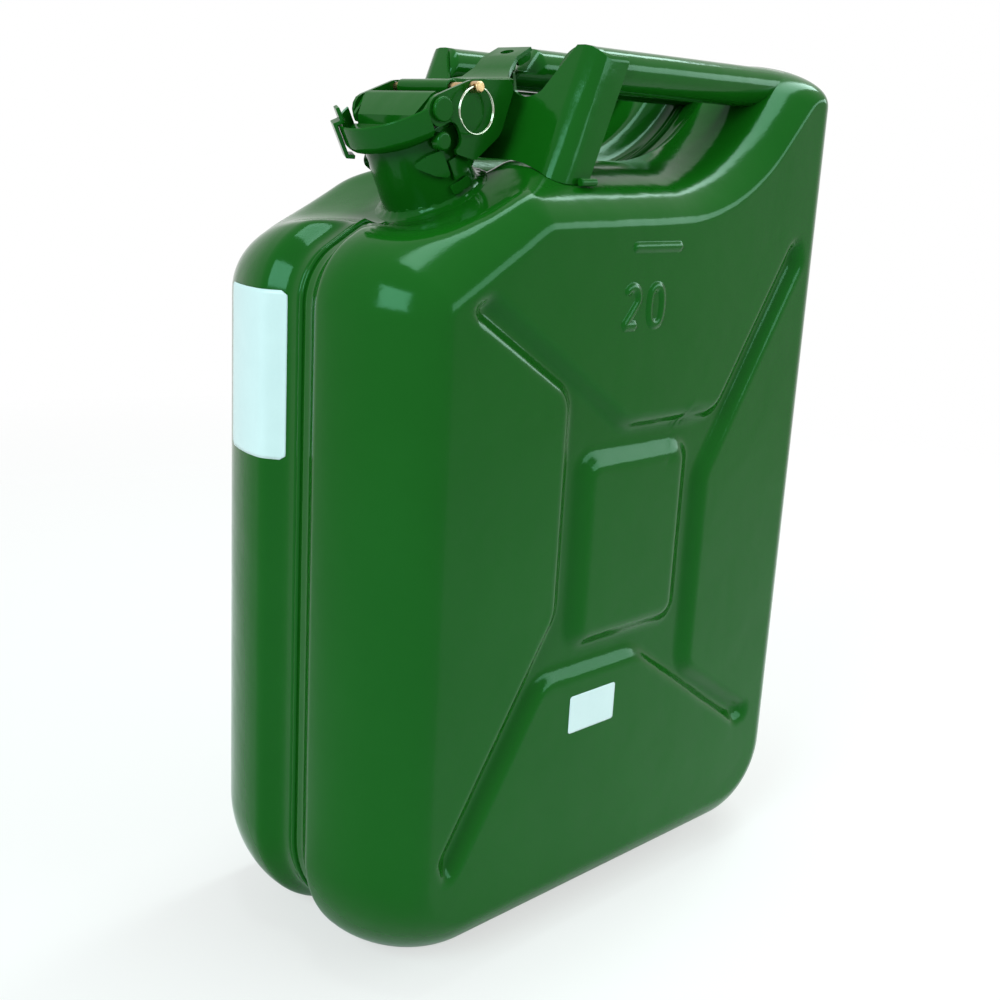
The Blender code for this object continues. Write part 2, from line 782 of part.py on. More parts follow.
def spout():
    lip_low = SPOUT_LENGTH - SPOUT_LIP_HEIGHT
    top = spout_radius(SPOUT_LENGTH)
    profile = [
        (top + SPOUT_LIP / 2, SPOUT_LENGTH),
        (top + SPOUT_LIP, SPOUT_LENGTH - SPOUT_LIP),
        (top + SPOUT_LIP, lip_low),
        (spout_radius(lip_low), lip_low - SPOUT_LIP),
        (SPOUT_BASE_RADIUS, 0),
        (SPOUT_BASE_RADIUS, -SPOUT_ROOT),
        (SPOUT_BASE_RADIUS - SPOUT_WALL, -SPOUT_ROOT),
        (SPOUT_BASE_RADIUS - SPOUT_WALL, 0),
        (top - SPOUT_WALL, SPOUT_LENGTH),
    ]
    return turned("spout", profile, PAINT)


def spout_collar():
    """The weld ring where the spout stands on its seat."""
    inner = SPOUT_BASE_RADIUS + FIT_GAP
    outer = SPOUT_BASE_RADIUS + COLLAR_WIDTH
    profile = [
        (inner, COLLAR_RISE),
        (inner + COLLAR_WIDTH / 2, COLLAR_SHOULDER),
        (outer, FIT_GAP + COLLAR_SHOULDER / 4),
        (outer, FIT_GAP),
        (inner, FIT_GAP),
    ]
    return turned("spout_collar", profile, PAINT)


def wrapped_patch(name, corners, thickness, side):
    """A sheet of (arc length, height, radius) corners bent round the spout's side."""
    outline = rounded_outline(corners, steps=PATTERN_STEPS)
    flat = plate(name, outline, thickness, PAINT)
    bm = bmesh.new()
    bm.from_mesh(flat.data)
    stations = 5
    low = min(x for x, _ in outline)
    high = max(x for x, _ in outline)
    for station in range(1, stations):
        place = low + (high - low) * station / stations
        geom = [*bm.verts, *bm.edges, *bm.faces]
        bmesh.ops.bisect_plane(bm, geom=geom, plane_co=(place, 0, 0), plane_no=(1, 0, 0))
    for vert in bm.verts:
        along, height, deep = vert.co
        inside = spout_radius(height) + FIT_GAP
        angle = along / inside
        radius = inside + thickness / 2 - deep
        vert.co = (radius * math.sin(angle), side * radius * math.cos(angle), height)
    if side < 0:
        bmesh.ops.reverse_faces(bm, faces=bm.faces)
    bm.to_mesh(flat.data)
    bm.free()
    flat.matrix_basis = SPOUT
    return smooth(flat)


def catch_lug(name, side):
    corners = [
        (x * LUG_LENGTH, LUG_LOW + z * LUG_HEIGHT, radius * LUG_HEIGHT) for x, z, radius in LUG_SHARES
    ]
    return wrapped_patch(name, corners, LUG_SHEET, side)


def bracket_weld_pad(name, side):
    middle = (WELD_PAD_LOW + WELD_PAD_HIGH) / 2
    half_height = (WELD_PAD_HIGH - WELD_PAD_LOW) / 2
    corners = rectangle(0, middle, WELD_PAD_HALF, half_height, half_height * 0.6)
    return wrapped_patch(name, corners, WELD_PAD_THICK, side)


def trunnion(name, side):
    """The stud on the spout's side that the lever's hook draws down on."""
    inner = spout_radius(TRUNNION_RISE) + 2 * FIT_GAP
    start = (-TRUNNION_FORWARD, side * inner, TRUNNION_RISE)
    end = (-TRUNNION_FORWARD, side * TRUNNION_OUT, TRUNNION_RISE)
    stud = rod(name, TRUNNION_RADIUS, start, end, PAINT)
    bevel = stud.modifiers.new("edge", "BEVEL")
    bevel.width = TRUNNION_RADIUS / 6
    bevel.segments = 1
    return smooth(stud)


HINGE_HALF = STRAP_HALF_WIDTH + FIT_GAP * 3
HINGE_EAR = HINGE_HALF + EAR_SHEET / 2
HINGE_OUT = HINGE_HALF + EAR_SHEET


def hinge_bracket():
    """A band round the back of the spout with two ears for the lid's hinge pin."""
    inner_low = spout_radius(SADDLE_LOW) + FIT_GAP
    inner_high = spout_radius(SADDLE_HIGH) + FIT_GAP
    name = "hinge_bracket"
    mesh = bpy.data.meshes.new(name)
    half = BAND_SHEET / 2
    reach = math.radians(90) + SADDLE_FRONT / inner_low
    start = Matrix.Rotation(-reach, 3, "Z")
    low = start @ Vector((inner_low + half, 0, SADDLE_LOW))
    high = start @ Vector((inner_high + half, 0, SADDLE_HIGH))
    mesh.from_pydata([high, low], [(0, 1)], [])
    band = add_object(name, mesh, SPOUT, PAINT)
    screw = band.modifiers.new("wrap", "SCREW")
    screw.angle = 2 * reach
    screw.steps = TURN_STEPS // 2
    screw.render_steps = TURN_STEPS // 2
    solidify = band.modifiers.new("sheet", "SOLIDIFY")
    solidify.thickness = BAND_SHEET
    solidify.offset = 0.0
    band = to_mesh(band)
    ears = []
    middle = inner_low + half
    foot = math.sqrt(middle**2 - HINGE_EAR**2)
    eye = HINGE_EYE_RADIUS
    for side in (-1, 1):
        corners = (
            (foot, EAR_FOOT_LOW, eye / 4),
            (HINGE_BACK - eye / 2, EAR_FOOT_LOW + eye / 2, eye / 2),
            (HINGE_BACK + eye, HINGE_RISE - eye / 3, eye),
            (HINGE_BACK + eye * 0.8, HINGE_RISE + eye, eye),
            (HINGE_BACK - eye, HINGE_RISE + eye, eye),
            (foot, EAR_FOOT_HIGH, eye / 4),
        )
        outline = rounded_outline(corners, steps=4)
        ears.append(plate(f"ear_{side}", outline, EAR_SHEET, across=side * HINGE_EAR))
    band = join(band, *ears)
    band.data.materials.append(material(*PAINT))
    hole = cross_hole("hinge_hole_cutter", HINGE_PIN_RADIUS, HINGE_BACK, HINGE_RISE, HINGE_OUT)
    return smooth(cut(band, hole))


def cross_hole(name, radius, back, rise, out):
    """The cutter of a pin's clearance hole, across the spout past a distance to each side."""
    over = out + OVERRUN
    return rod(name, radius + FIT_GAP, (back, -over, rise), (back, over, rise))


def pin_between(name, radius, head_radii, head, start, end, parent=None):
    """A pin across the spout with a riveted head past its start and another past its end."""
    (u, y0, h), (_, y1, _) = start, end
    start_radius, head_radius = head_radii
    way = math.copysign(1, y1 - y0)
    length = abs(y1 - y0)
    frame = SPOUT @ Matrix.Translation((u, y0, h)) @ Matrix.Rotation(math.radians(-90) * way, 4, "X")
    edge = head / 4
    profile = [
        (0, length + head),
        (head_radius - edge, length + head),
        (head_radius, length + head - edge),
        (head_radius, length),
        (radius, length),
        (radius, 0),
        (start_radius, 0),
        (start_radius, edge - head),
        (start_radius - edge, -head),
        (0, -head),
    ]
    return turned(name, profile, PAINT, frame, parent, SMALL_TURN_STEPS, closed=False)


def hinge_pin():
    out = HINGE_OUT + FIT_GAP
    start = (HINGE_BACK, -out, HINGE_RISE)
    end = (HINGE_BACK, out, HINGE_RISE)
    heads = (HINGE_HEAD_RADIUS, HINGE_HEAD_RADIUS)
    return pin_between("hinge_pin", HINGE_PIN_RADIUS, heads, HINGE_HEAD, start, end)


# The lid: cap, gasket, its clamp plate and rivet, hinge strap, front bridge and clip


def lid_cap(parent):
    inner = LID_RADIUS - LID_SHEET
    under = LID_FLOOR - LID_SHEET
    hole = RIVET_RADIUS + RIVET_FIT
    profile = [
        (inner, LID_RIM_TOP - LID_SHEET / 2),
        (LID_RADIUS - LID_SHEET / 2, LID_RIM_TOP),
        (LID_RADIUS, LID_RIM_TOP - LID_SHEET / 2),
        (LID_RADIUS, LID_FLOOR - LID_SHEET),
        (LID_RADIUS - LID_SKIRT_TURN / 3, LID_SKIRT_LOW + LID_SKIRT_TURN),
        (LID_RADIUS - LID_SKIRT_TURN, LID_SKIRT_LOW),
        (LID_RADIUS - LID_SKIRT_TURN - LID_SHEET, LID_SKIRT_LOW + LID_SHEET / 2),
        (inner - LID_SKIRT_TURN / 3, LID_SKIRT_LOW + LID_SKIRT_TURN),
        (inner, under),
        (hole, under),
        (hole, LID_FLOOR),
        (inner, LID_FLOOR),
    ]
    cap = turned("lid_cap", profile, PAINT, parent=parent)
    cutters = []
    for side in (-1, 1):
        inside = side * (CHEEK_INSIDE - 2 * FIT_GAP)
        outside = side * (LID_RADIUS + OVERRUN)
        low = (-LID_FRONT_LENGTH, min(inside, outside), LID_SKIRT_LOW - OVERRUN)
        high = (LID_RADIUS, max(inside, outside), LID_RIM_TOP + OVERRUN)
        cutters.append(block(f"cheek_slot_cutter_{side}", low, high, SPOUT))
    low = PIN_RISE - SPACER_RADIUS - FIT_GAP
    high = LID_RIM_TOP + OVERRUN
    rear = LID_RADIUS + OVERRUN
    room = [(LID_REAR_STEP, high), (LID_REAR_STEP + high - low, low), (rear, low), (rear, high)]
    cutters.append(plate("pin_room_cutter", room, 2 * rear))
    return cut(cap, *cutters)


def gasket(parent):
    top = LID_FLOOR - LID_SHEET - FIT_GAP
    hole = RIVET_RADIUS + RIVET_FIT
    low = top - GASKET_THICK
    profile = [(GASKET_RADIUS, top), (GASKET_RADIUS, low), (hole, low), (hole, top)]
    return turned("lid_gasket", profile, RUBBER, parent=parent)


def clamp_plate(parent):
    top = LID_FLOOR - LID_SHEET - GASKET_THICK - 2 * FIT_GAP
    hole = RIVET_RADIUS + RIVET_FIT
    profile = [
        (CLAMP_RADIUS - CLAMP_THICK / 2, top),
        (CLAMP_RADIUS, top - CLAMP_THICK / 2),
        (CLAMP_RADIUS, top - CLAMP_THICK),
        (hole, top - CLAMP_THICK),
        (hole, top),
    ]
    return turned("gasket_plate", profile, BARE_STEEL, parent=parent)


def gasket_rivet(parent):
    low = LID_FLOOR - LID_SHEET - GASKET_THICK - CLAMP_THICK - 3 * FIT_GAP
    high = LID_FLOOR + FIT_GAP
    edge = RIVET_HEAD / 2
    profile = [
        (0, high + RIVET_HEAD),
        (RIVET_HEAD_RADIUS - edge, high + RIVET_HEAD),
        (RIVET_HEAD_RADIUS, high + edge),
        (RIVET_HEAD_RADIUS, high),
        (RIVET_RADIUS, high),
        (RIVET_RADIUS, low),
        (RIVET_HEAD_RADIUS, low),
        (RIVET_HEAD_RADIUS, low - edge),
        (RIVET_HEAD_RADIUS - edge, low - RIVET_HEAD),
        (0, low - RIVET_HEAD),
    ]
    return turned("gasket_rivet", profile, BARE_STEEL, parent=parent, steps=SMALL_TURN_STEPS, closed=False)


def lid_strap(parent):
    """The strip on the back of the lid, rolled round the hinge pin at its lower end."""
    roll = HINGE_PIN_RADIUS + FIT_GAP + STRAP_SHEET / 2
    flat = LID_RADIUS + FIT_GAP + STRAP_SHEET / 2
    eye = arc((HINGE_BACK, HINGE_RISE), roll, 20, -250, 12)
    path = [(flat, STRAP_TOP), (flat, STRAP_BEND), (HINGE_BACK + roll, HINGE_RISE + roll * 1.2), *eye]
    strip = [(x, z, STRAP_HALF_WIDTH) for x, z in path]
    return smooth(folded_sheet("lid_strap", strip, STRAP_SHEET, PAINT, parent=parent))


def lid_bridge(parent):
    """The folded plate welded across the lid, whose ears carry the lever's pivots."""
    half = BRIDGE_SHEET / 2
    floor = LID_FLOOR + FIT_GAP + half
    flare_u, flare_h = BRIDGE_FLARE
    top_u, top_h = BRIDGE_TOP
    path = (
        (-BRIDGE_FOOT_FORWARD, floor, BRIDGE_FOOT_HALF_WIDTH),
        (-BRIDGE_FOOT_FORWARD + BRIDGE_FOOT_LENGTH, floor, BRIDGE_FOOT_HALF_WIDTH),
        (flare_u, flare_h, BRIDGE_FOOT_HALF_WIDTH),
        (top_u, top_h, BRIDGE_HALF_WIDTH),
        (top_u + BRIDGE_RETURN, top_h, BRIDGE_HALF_WIDTH),
    )
    sheet = to_mesh(folded_sheet("lid_bridge", path, BRIDGE_SHEET, parent=parent))
    ears = []
    across = CHEEK_INSIDE - 3 * FIT_GAP - EAR_SHEET / 2
    for side in (-1, 1):
        corners = (
            (flare_u, floor, BRIDGE_SHEET),
            (BRIDGE_EAR_BACK, floor, BRIDGE_EAR_RADIUS / 2),
            (BRIDGE_EAR_BACK, PIVOT_RISE + BRIDGE_EAR_RADIUS, BRIDGE_EAR_RADIUS),
            (top_u, top_h, BRIDGE_SHEET),
            (flare_u, flare_h, BRIDGE_SHEET),
        )
        name = f"bridge_ear_{side}"
        outline = rounded_outline(corners, steps=4)
        ears.append(plate(name, outline, EAR_SHEET, across=side * across, parent=parent))
    bridge = join(sheet, *ears)
    bridge.data.materials.append(material(*PAINT))
    hole = cross_hole("bridge_hole_cutter", PIVOT_RADIUS, PIVOT_BACK, PIVOT_RISE, CHEEK_INSIDE)
    return smooth(cut(bridge, hole))


def front_clip(parent):
    """The little clip over the lid's rim, with a thumb tab above and a hook below."""
    half = CLIP_SHEET / 2
    inner = LID_RADIUS - LID_SHEET - FIT_GAP - half
    outer = LID_RADIUS + FIT_GAP + half
    over = LID_RIM_TOP + FIT_GAP + half
    under = LID_SKIRT_LOW - FIT_GAP - half
    path = (
        (inner, over + CLIP_TAB, CLIP_HALF_WIDTH * 0.8),
        (inner, over + CLIP_TAB * 0.7, CLIP_HALF_WIDTH),
        (inner, over, CLIP_HALF_WIDTH),
        (outer, over, CLIP_HALF_WIDTH),
        (outer, under, CLIP_HALF_WIDTH),
        (outer - CLIP_HOOK, under - CLIP_HOOK / 2, CLIP_HALF_WIDTH),
    )
    frame = SPOUT @ Matrix.Rotation(CLIP_ANGLE, 4, "Z")
    return smooth(folded_sheet("front_clip", path, CLIP_SHEET, PAINT, frame, parent))


def pivot_rivet(name, side, parent):
    inner = CHEEK_INSIDE - 3 * FIT_GAP - EAR_SHEET - FIT_GAP
    outer = CHEEK_INSIDE + CHEEK_SHEET + FIT_GAP
    start = (PIVOT_BACK, side * inner, PIVOT_RISE)
    end = (PIVOT_BACK, side * outer, PIVOT_RISE)
    heads = (PIVOT_INNER_RADIUS, PIVOT_HEAD_RADIUS)
    return pin_between(name, PIVOT_RADIUS, heads, PIVOT_HEAD, start, end, parent)


# The lever frame, with the safety pin, its spacer and the split ring


def cheek_corners():
    """One side plate: a lobe round the pivot, a hook behind the stud, and the deep rear part."""
    lobe = CHEEK_LOBE_RADIUS
    hook = TRUNNION_RADIUS + HOOK_GAP
    tip = -TRUNNION_FORWARD + TRUNNION_RADIUS + 3 * FIT_GAP
    jaw = tip + hook * 0.85
    jaw_low = TRUNNION_RISE - hook
    jaw_high = TRUNNION_RISE + hook
    tip_low = jaw_low - LEAST_RADIUS * 1.6
    front = [(tip, jaw_low, LEAST_RADIUS / 2), (tip, tip_low, LEAST_RADIUS / 2)]
    rear = [
        (PIVOT_BACK + x * CHEEK_LENGTH, PIVOT_RISE + z * CHEEK_HEIGHT, radius * CHEEK_LENGTH)
        for x, z, radius in CHEEK_SHARES
    ]
    head = [
        (PIVOT_BACK - lobe, PIVOT_RISE + lobe, lobe * 0.95),
        (PIVOT_BACK - lobe, PIVOT_RISE - lobe, lobe * 0.8),
        (jaw, jaw_high, hook * 0.8),
        (jaw, jaw_low, hook * 0.8),
    ]
    return [*front, *rear, *head]


def lever_frame(parent):
    across = CHEEK_INSIDE + CHEEK_SHEET / 2
    outline = rounded_outline(cheek_corners(), steps=4)
    cheeks = []
    for side in (-1, 1):
        cheeks.append(plate(f"cheek_{side}", outline, CHEEK_SHEET, across=side * across, parent=parent))
    path = tongue_path()
    tongue = to_mesh(folded_sheet("lever_frame", path, TONGUE_SHEET, parent=parent))
    lips = []
    for side in (-1, 1):
        corners = tongue_lip_corners()
        place = side * (path[-1][2] - TONGUE_SHEET / 2)
        name = f"tongue_lip_{side}"
        outline = rounded_outline(corners, steps=3)
        lips.append(plate(name, outline, TONGUE_SHEET, across=place, parent=parent))
    frame = join(tongue, *cheeks, *lips)
    frame.data.materials.append(material(*PAINT))
    pivot = cross_hole("pivot_hole_cutter", PIVOT_RADIUS, PIVOT_BACK, PIVOT_RISE, across)
    pin = cross_hole("pin_hole_cutter", PIN_RADIUS, PIN_BACK, PIN_RISE, across)
    return smooth(cut(frame, pivot, pin, tongue_hole_cutter()))


def tongue_path():
    """(x, z, half width) along the plate between the cheeks and the narrow tongue behind it."""
    across = CHEEK_INSIDE + CHEEK_SHEET / 2
    path = []
    for x, z, half in PLATE_SHARES:
        path.append((PIVOT_BACK + x * CHEEK_LENGTH, PIVOT_RISE + z * CHEEK_HEIGHT, half * across))
    start_x, start_z, _ = path[-1]
    for x, z, half in TONGUE_SHARES:
        path.append((start_x + x * TONGUE_LENGTH, start_z + z * TONGUE_RISE, half * across))
    return path


def tongue_lip_corners():
    """The lip folded down along the tongue's straight last stretch."""
    (x0, z0, _), (x1, z1, _) = tongue_path()[-2:]
    start = Vector((x0, z0))
    end = Vector((x1, z1))
    down = -left_of((end - start).normalized())
    return (
        (*(start + down * TONGUE_LIP), TONGUE_SHEET / 2),
        (*(end - (end - start) / 4 + down * TONGUE_LIP), TONGUE_SHEET),
        (*end, TONGUE_SHEET / 4),
        (*start, TONGUE_SHEET / 4),
    )


def tongue_hole_cutter():
    """The oval hole near the tongue's end."""
    (x0, z0, _), (x1, z1, _) = tongue_path()[-2:]
    middle = Vector(((x0 + x1) / 2, 0, (z0 + z1) / 2))
    through = Vector((0, 0, TONGUE_SHEET + OVERRUN))
    hole = rod("tongue_hole_cutter", TONGUE_HOLE_RADIUS, middle - through, middle + through)
    stretch = 1 + TONGUE_HOLE_HALF_LENGTH / TONGUE_HOLE_RADIUS
    hole.data.transform(Matrix.Diagonal((1, stretch, 1, 1)))
    return hole


def spacer_tube(parent):
    frame = SPOUT @ Matrix.Translation((PIN_BACK, 0, PIN_RISE)) @ Matrix.Rotation(math.radians(90), 4, "X")
    hole = PIN_RADIUS + FIT_GAP
    profile = [
        (SPACER_RADIUS, SPACER_NEAR),
        (SPACER_RADIUS, -SPACER_FAR),
        (hole, -SPACER_FAR),
        (hole, SPACER_NEAR),
    ]
    return turned("spacer_tube", profile, PAINT, frame, parent, SMALL_TURN_STEPS)


def safety_pin(parent):
    """The brass pin: its head outside the near cheek holds the split ring."""
    outside = CHEEK_INSIDE + CHEEK_SHEET + FIT_GAP
    frame = SPOUT @ Matrix.Translation((PIN_BACK, 0, PIN_RISE)) @ Matrix.Rotation(math.radians(90), 4, "X")
    edge = PIN_RADIUS / 3
    profile = [
        (0, outside + PIN_HEAD),
        (PIN_HEAD_RADIUS - edge, outside + PIN_HEAD),
        (PIN_HEAD_RADIUS, outside + PIN_HEAD - edge),
        (PIN_HEAD_RADIUS, outside),
        (PIN_RADIUS, outside),
        (PIN_RADIUS, edge - PIN_TIP),
        (PIN_RADIUS - edge, -PIN_TIP),
        (0, -PIN_TIP),
    ]
    pin = turned("safety_pin", profile, BRASS, frame, parent, SMALL_TURN_STEPS, closed=False)
    eye = ring_eye()
    reach = Vector((PIN_HEAD_RADIUS + OVERRUN, 0, 0))
    hole = rod("ring_hole_cutter", RING_HOLE, eye - reach, eye + reach, frame=Matrix.Identity(4), steps=12)
    return cut(pin, hole)


def ring_eye():
    """Where the split ring passes through the pin's head, in the can's frame."""
    outside = CHEEK_INSIDE + CHEEK_SHEET + FIT_GAP
    return SPOUT @ Vector((PIN_BACK, -(outside + RING_EYE_OUT), PIN_RISE))


def pull_ring(parent):
    """The split ring hanging from the pin's head, drawn closed."""
    eye = ring_eye()
    centre = eye - Vector((0, 0, RING_RADIUS))
    points = [(x, centre.y, z) for x, z in arc((centre.x, centre.z), RING_RADIUS, 0, 360, 28)[:-1]]
    ring = wire("pull_ring", points, RING_WIRE, BRIGHT_WIRE, None, parent, cyclic=True, resolution=1)
    return smooth(ring)


# The carrying bars and their bracket


def bracket_frame():
    """The bracket's own frame: X square to its web, Z up along it, origin at the web's foot."""
    foot = (BRACKET_X, 0, valley_height(BRACKET_X))
    return Matrix.Translation(foot) @ Matrix.Rotation(BRACKET_LEAN, 4, "Y")


def handle_bracket():
    """A channel of sheet, leaning back, with notches between the bars and folded flanges."""
    name = "handle_bracket"
    rise = (BODY_HEIGHT - valley_height(BRACKET_X)) / math.cos(BRACKET_LEAN)
    low, high = -BRACKET_FLANGE, rise + BRACKET_FLANGE
    half = BRACKET_HALF_WIDTH
    fold = BRACKET_FOLD
    near_fold = arc((fold, fold - half), fold, 270, 180, FOLD_STEPS)
    far_fold = arc((fold, half - fold), fold, 180, 90, FOLD_STEPS)
    section = ((BRACKET_FLANGE, -half), *near_fold, *far_fold, (BRACKET_FLANGE, half))
    mesh = bpy.data.meshes.new(name)
    points = [(x, y, z) for z in (low, high) for x, y in section]
    count = len(section)
    faces = [(i, i + 1, i + 1 + count, i + count) for i in range(count - 1)]
    mesh.from_pydata(points, [], faces)
    frame = bracket_frame()
    sheet = add_object(name, mesh, frame)
    solidify = sheet.modifiers.new("sheet", "SOLIDIFY")
    solidify.thickness = BRACKET_SHEET
    solidify.offset = 0.0
    solidify.use_even_offset = True
    sheet = to_mesh(sheet)
    sheet.data.materials.append(material(*PAINT))
    far = BODY_WIDTH
    x0, x1 = BRACKET_X - far / 4, BRACKET_X + far / 4
    below = hull_cutter("bracket_foot_cutter", FIT_GAP)
    above = top_cutter(x0, x1)
    notches = [notch_cutter(side, x0, x1) for side in (-1, 1)]
    post_top = BODY_HEIGHT - POST_DROP
    high = (x1, POST_HALF_WIDTH, BODY_HEIGHT + far / 4)
    post = block("post_cutter", (x0, -POST_HALF_WIDTH, post_top), high)
    return smooth(cut(sheet, below, above, *notches, post))


def across_cutter(name, outline, x0, x1):
    """A (y, z) outline carried along X."""
    turned_plate = plate(name, outline, x1 - x0, frame=Matrix.Rotation(math.radians(90), 4, "Z"), across=0)
    turned_plate.matrix_basis = Matrix.Translation(((x0 + x1) / 2, 0, 0)) @ turned_plate.matrix_basis
    return turned_plate


def top_cutter(x0, x1):
    """What lies above the bars and outside the bracket's rounded upper corners."""
    round_radius = BRACKET_TOP_RADIUS
    half = BRACKET_HALF_WIDTH + BRACKET_SHEET
    top = BODY_HEIGHT - BAR_DROP
    high = top + BODY_WIDTH / 4
    left = arc((round_radius - half, top - round_radius), round_radius, 90, 180, 5)
    right = arc((half - round_radius, top - round_radius), round_radius, 0, 90, 5)
    wide = HALF_DEPTH
    outline = [(wide, high), (-wide, high), (-wide, top - round_radius), *reversed(left), *reversed(right)]
    outline.append((wide, top - round_radius))
    return across_cutter("bracket_top_cutter", outline, x0, x1)


def notch_cutter(side, x0, x1):
    """The hand notch between two bars: round below and flared above."""
    radius = BRACKET_NOTCH_RADIUS
    middle = side * BAR_PITCH / 2
    centre_z = BODY_HEIGHT - BRACKET_NOTCH_DROP + radius
    flare = 90 - math.degrees(BRACKET_NOTCH_FLARE)
    bottom = arc((middle, centre_z), radius, 180 + flare, 360 - flare, 8)
    high = BODY_HEIGHT + BODY_WIDTH / 4
    top_reach = BAR_PITCH / 2
    top = BODY_HEIGHT
    outline = [
        *bottom,
        (middle + top_reach, top),
        (middle + top_reach, high),
        (middle - top_reach, high),
        (middle - top_reach, top),
    ]
    return across_cutter(f"notch_cutter_{side}", outline, x0, x1)


def carrying_bar(name, y, hump):
    """One bar from the bracket's web back to the front wall of the hump, a cutter of its own."""
    axis_height = BODY_HEIGHT - BAR_DROP - BAR_RADIUS
    rear = HALF_WIDTH - HUMP_LENGTH + HUMP_RADIUS * BAR_END_SHARE
    start, end = (BRACKET_X, y, axis_height), (rear, y, axis_height)
    bar = rod(name, BAR_RADIUS, start, end, PAINT, Matrix.Identity(4), steps=BAR_STEPS)
    front = channel_cutter(f"{name}_front_cutter")
    return smooth(cut(bar, front, hump))


def channel_cutter(name):
    """All that lies outside the bracket's channel, seen along the channel."""
    clear = BRACKET_SHEET / 2 + FIT_GAP
    flange = BRACKET_HALF_WIDTH - clear
    centre = (BRACKET_FOLD, BRACKET_HALF_WIDTH - BRACKET_FOLD)
    fold = arc(centre, (BRACKET_FOLD - clear) * FOLD_ROOM_SHARE, 180, 90, FOLD_STEPS)
    right = [(clear, centre[1]), *fold, (BRACKET_FOLD, flange), (BRACKET_FLANGE + OVERRUN, flange)]
    right.append((BRACKET_FLANGE + OVERRUN, BODY_DEPTH))
    left = [(x, -y) for x, y in reversed(right)]
    outline = [(-BODY_WIDTH, -BODY_DEPTH), *left, *right, (-BODY_WIDTH, BODY_DEPTH)]
    flat = bracket_frame() @ Matrix.Rotation(math.radians(-90), 4, "X")
    return plate(name, outline, 2 * BODY_WIDTH, frame=flat)


def carrying_bars():
    bead_room = SEAM_DEPTH + SHEET / 2 - BEAD_RADIUS - FIT_GAP
    groove = rounded_outline(BODY_CORNERS, bead_room)
    groove_cutter = plate("bar_groove_cutter", groove, BODY_DEPTH, frame=Matrix.Identity(4))
    carrying_bar("bar_near", -BAR_PITCH, hull_cutter("near_hump_cutter", FIT_GAP))
    middle = carrying_bar("bar_centre", 0, groove_cutter)
    low = (-HALF_WIDTH, -BAR_PITCH / 2, BODY_HEIGHT - POST_DROP + FIT_GAP)
    high = (SPOUT_PLACE[0] + TONGUE_ROOM, BAR_PITCH / 2, BODY_HEIGHT + OVERRUN)
    cut(middle, block("tongue_room_cutter", low, high))
    carrying_bar("bar_far", BAR_PITCH, hull_cutter("far_hump_cutter", FIT_GAP))


def foot_weld(name, side):
    """The weld run where a bracket flange stands on the shoulder's edge."""
    out = BRACKET_HALF_WIDTH + BRACKET_SHEET / 2 + FOOT_WELD_RADIUS + FIT_GAP
    share = FACE_SIDE_SHARES[4]
    drop = edge_inset(out) * share
    step = FOOT_WELD_RADIUS / 10
    drop_angle = math.atan((edge_inset(out + step) - edge_inset(out - step)) * share / (2 * step))
    front = BRACKET_X + BRACKET_FOLD
    back = BRACKET_X + BRACKET_FLANGE
    lift = FOOT_WELD_RADIUS / math.cos(drop_angle) + 2 * FIT_GAP
    points = [(x, side * out, valley_height(x) - drop + lift) for x in (front, back)]
    return smooth(wire(name, points, FOOT_WELD_RADIUS, PAINT))


# The breather pipe


def breather_pipe():
    """The inner air pipe: down inside the spout, back under the valley and up into the hump."""
    gap = BREATHER_RADIUS + FIT_GAP
    u = SPOUT_TOP_RADIUS - SPOUT_WALL - gap - FIT_GAP
    top = SPOUT @ Vector((u, 0, BREATHER_TOP))
    bottom = SPOUT @ Vector((u, 0, -BREATHER_DROP))
    run_height = SHOULDER_HEIGHT - BREATHER_RUN_DROP
    run_x = HALF_WIDTH - HUMP_LENGTH - BREATHER_END_FORWARD
    stops = [
        Vector((top.x, top.z)),
        Vector((bottom.x, bottom.z)),
        Vector((bottom.x + BREATHER_DROP, run_height)),
        Vector((run_x, run_height)),
        Vector((HALF_WIDTH - BREATHER_END_FORWARD, BODY_HEIGHT - BREATHER_END_DROP)),
    ]
    path = [stops[0]]
    for before, corner, after in zip(stops, stops[1:], stops[2:]):
        path.extend(rounded_bend(before, corner, after))
    path.append(stops[-1])
    places = [(point.x, 0, point.y) for point in path]
    pipe = wire("breather_pipe", places, BREATHER_RADIUS, BARE_STEEL)
    overrun_start = path[0] + (path[0] - path[1]).normalized() * OVERRUN
    overrun_end = path[-1] + (path[-1] - path[-2]).normalized() * OVERRUN
    bore = [overrun_start, *path[1:-1], overrun_end]
    bore_places = [(point.x, 0, point.y) for point in bore]
    cutter = wire("breather_bore_cutter", bore_places, BREATHER_RADIUS - BREATHER_WALL)
    return smooth(cut(pipe, cutter))


def rounded_bend(before, corner, after, steps=4):
    """Points of a curve that touches both legs of a bend."""
    reach = min(BREATHER_BEND, (before - corner).length / 2, (after - corner).length / 2)
    start = corner + (before - corner).normalized() * reach
    end = corner + (after - corner).normalized() * reach
    points = []
    for step in range(steps + 1):
        t = step / steps
        points.append(start * (1 - t) ** 2 + corner * (2 * t * (1 - t)) + end * t**2)
    return points


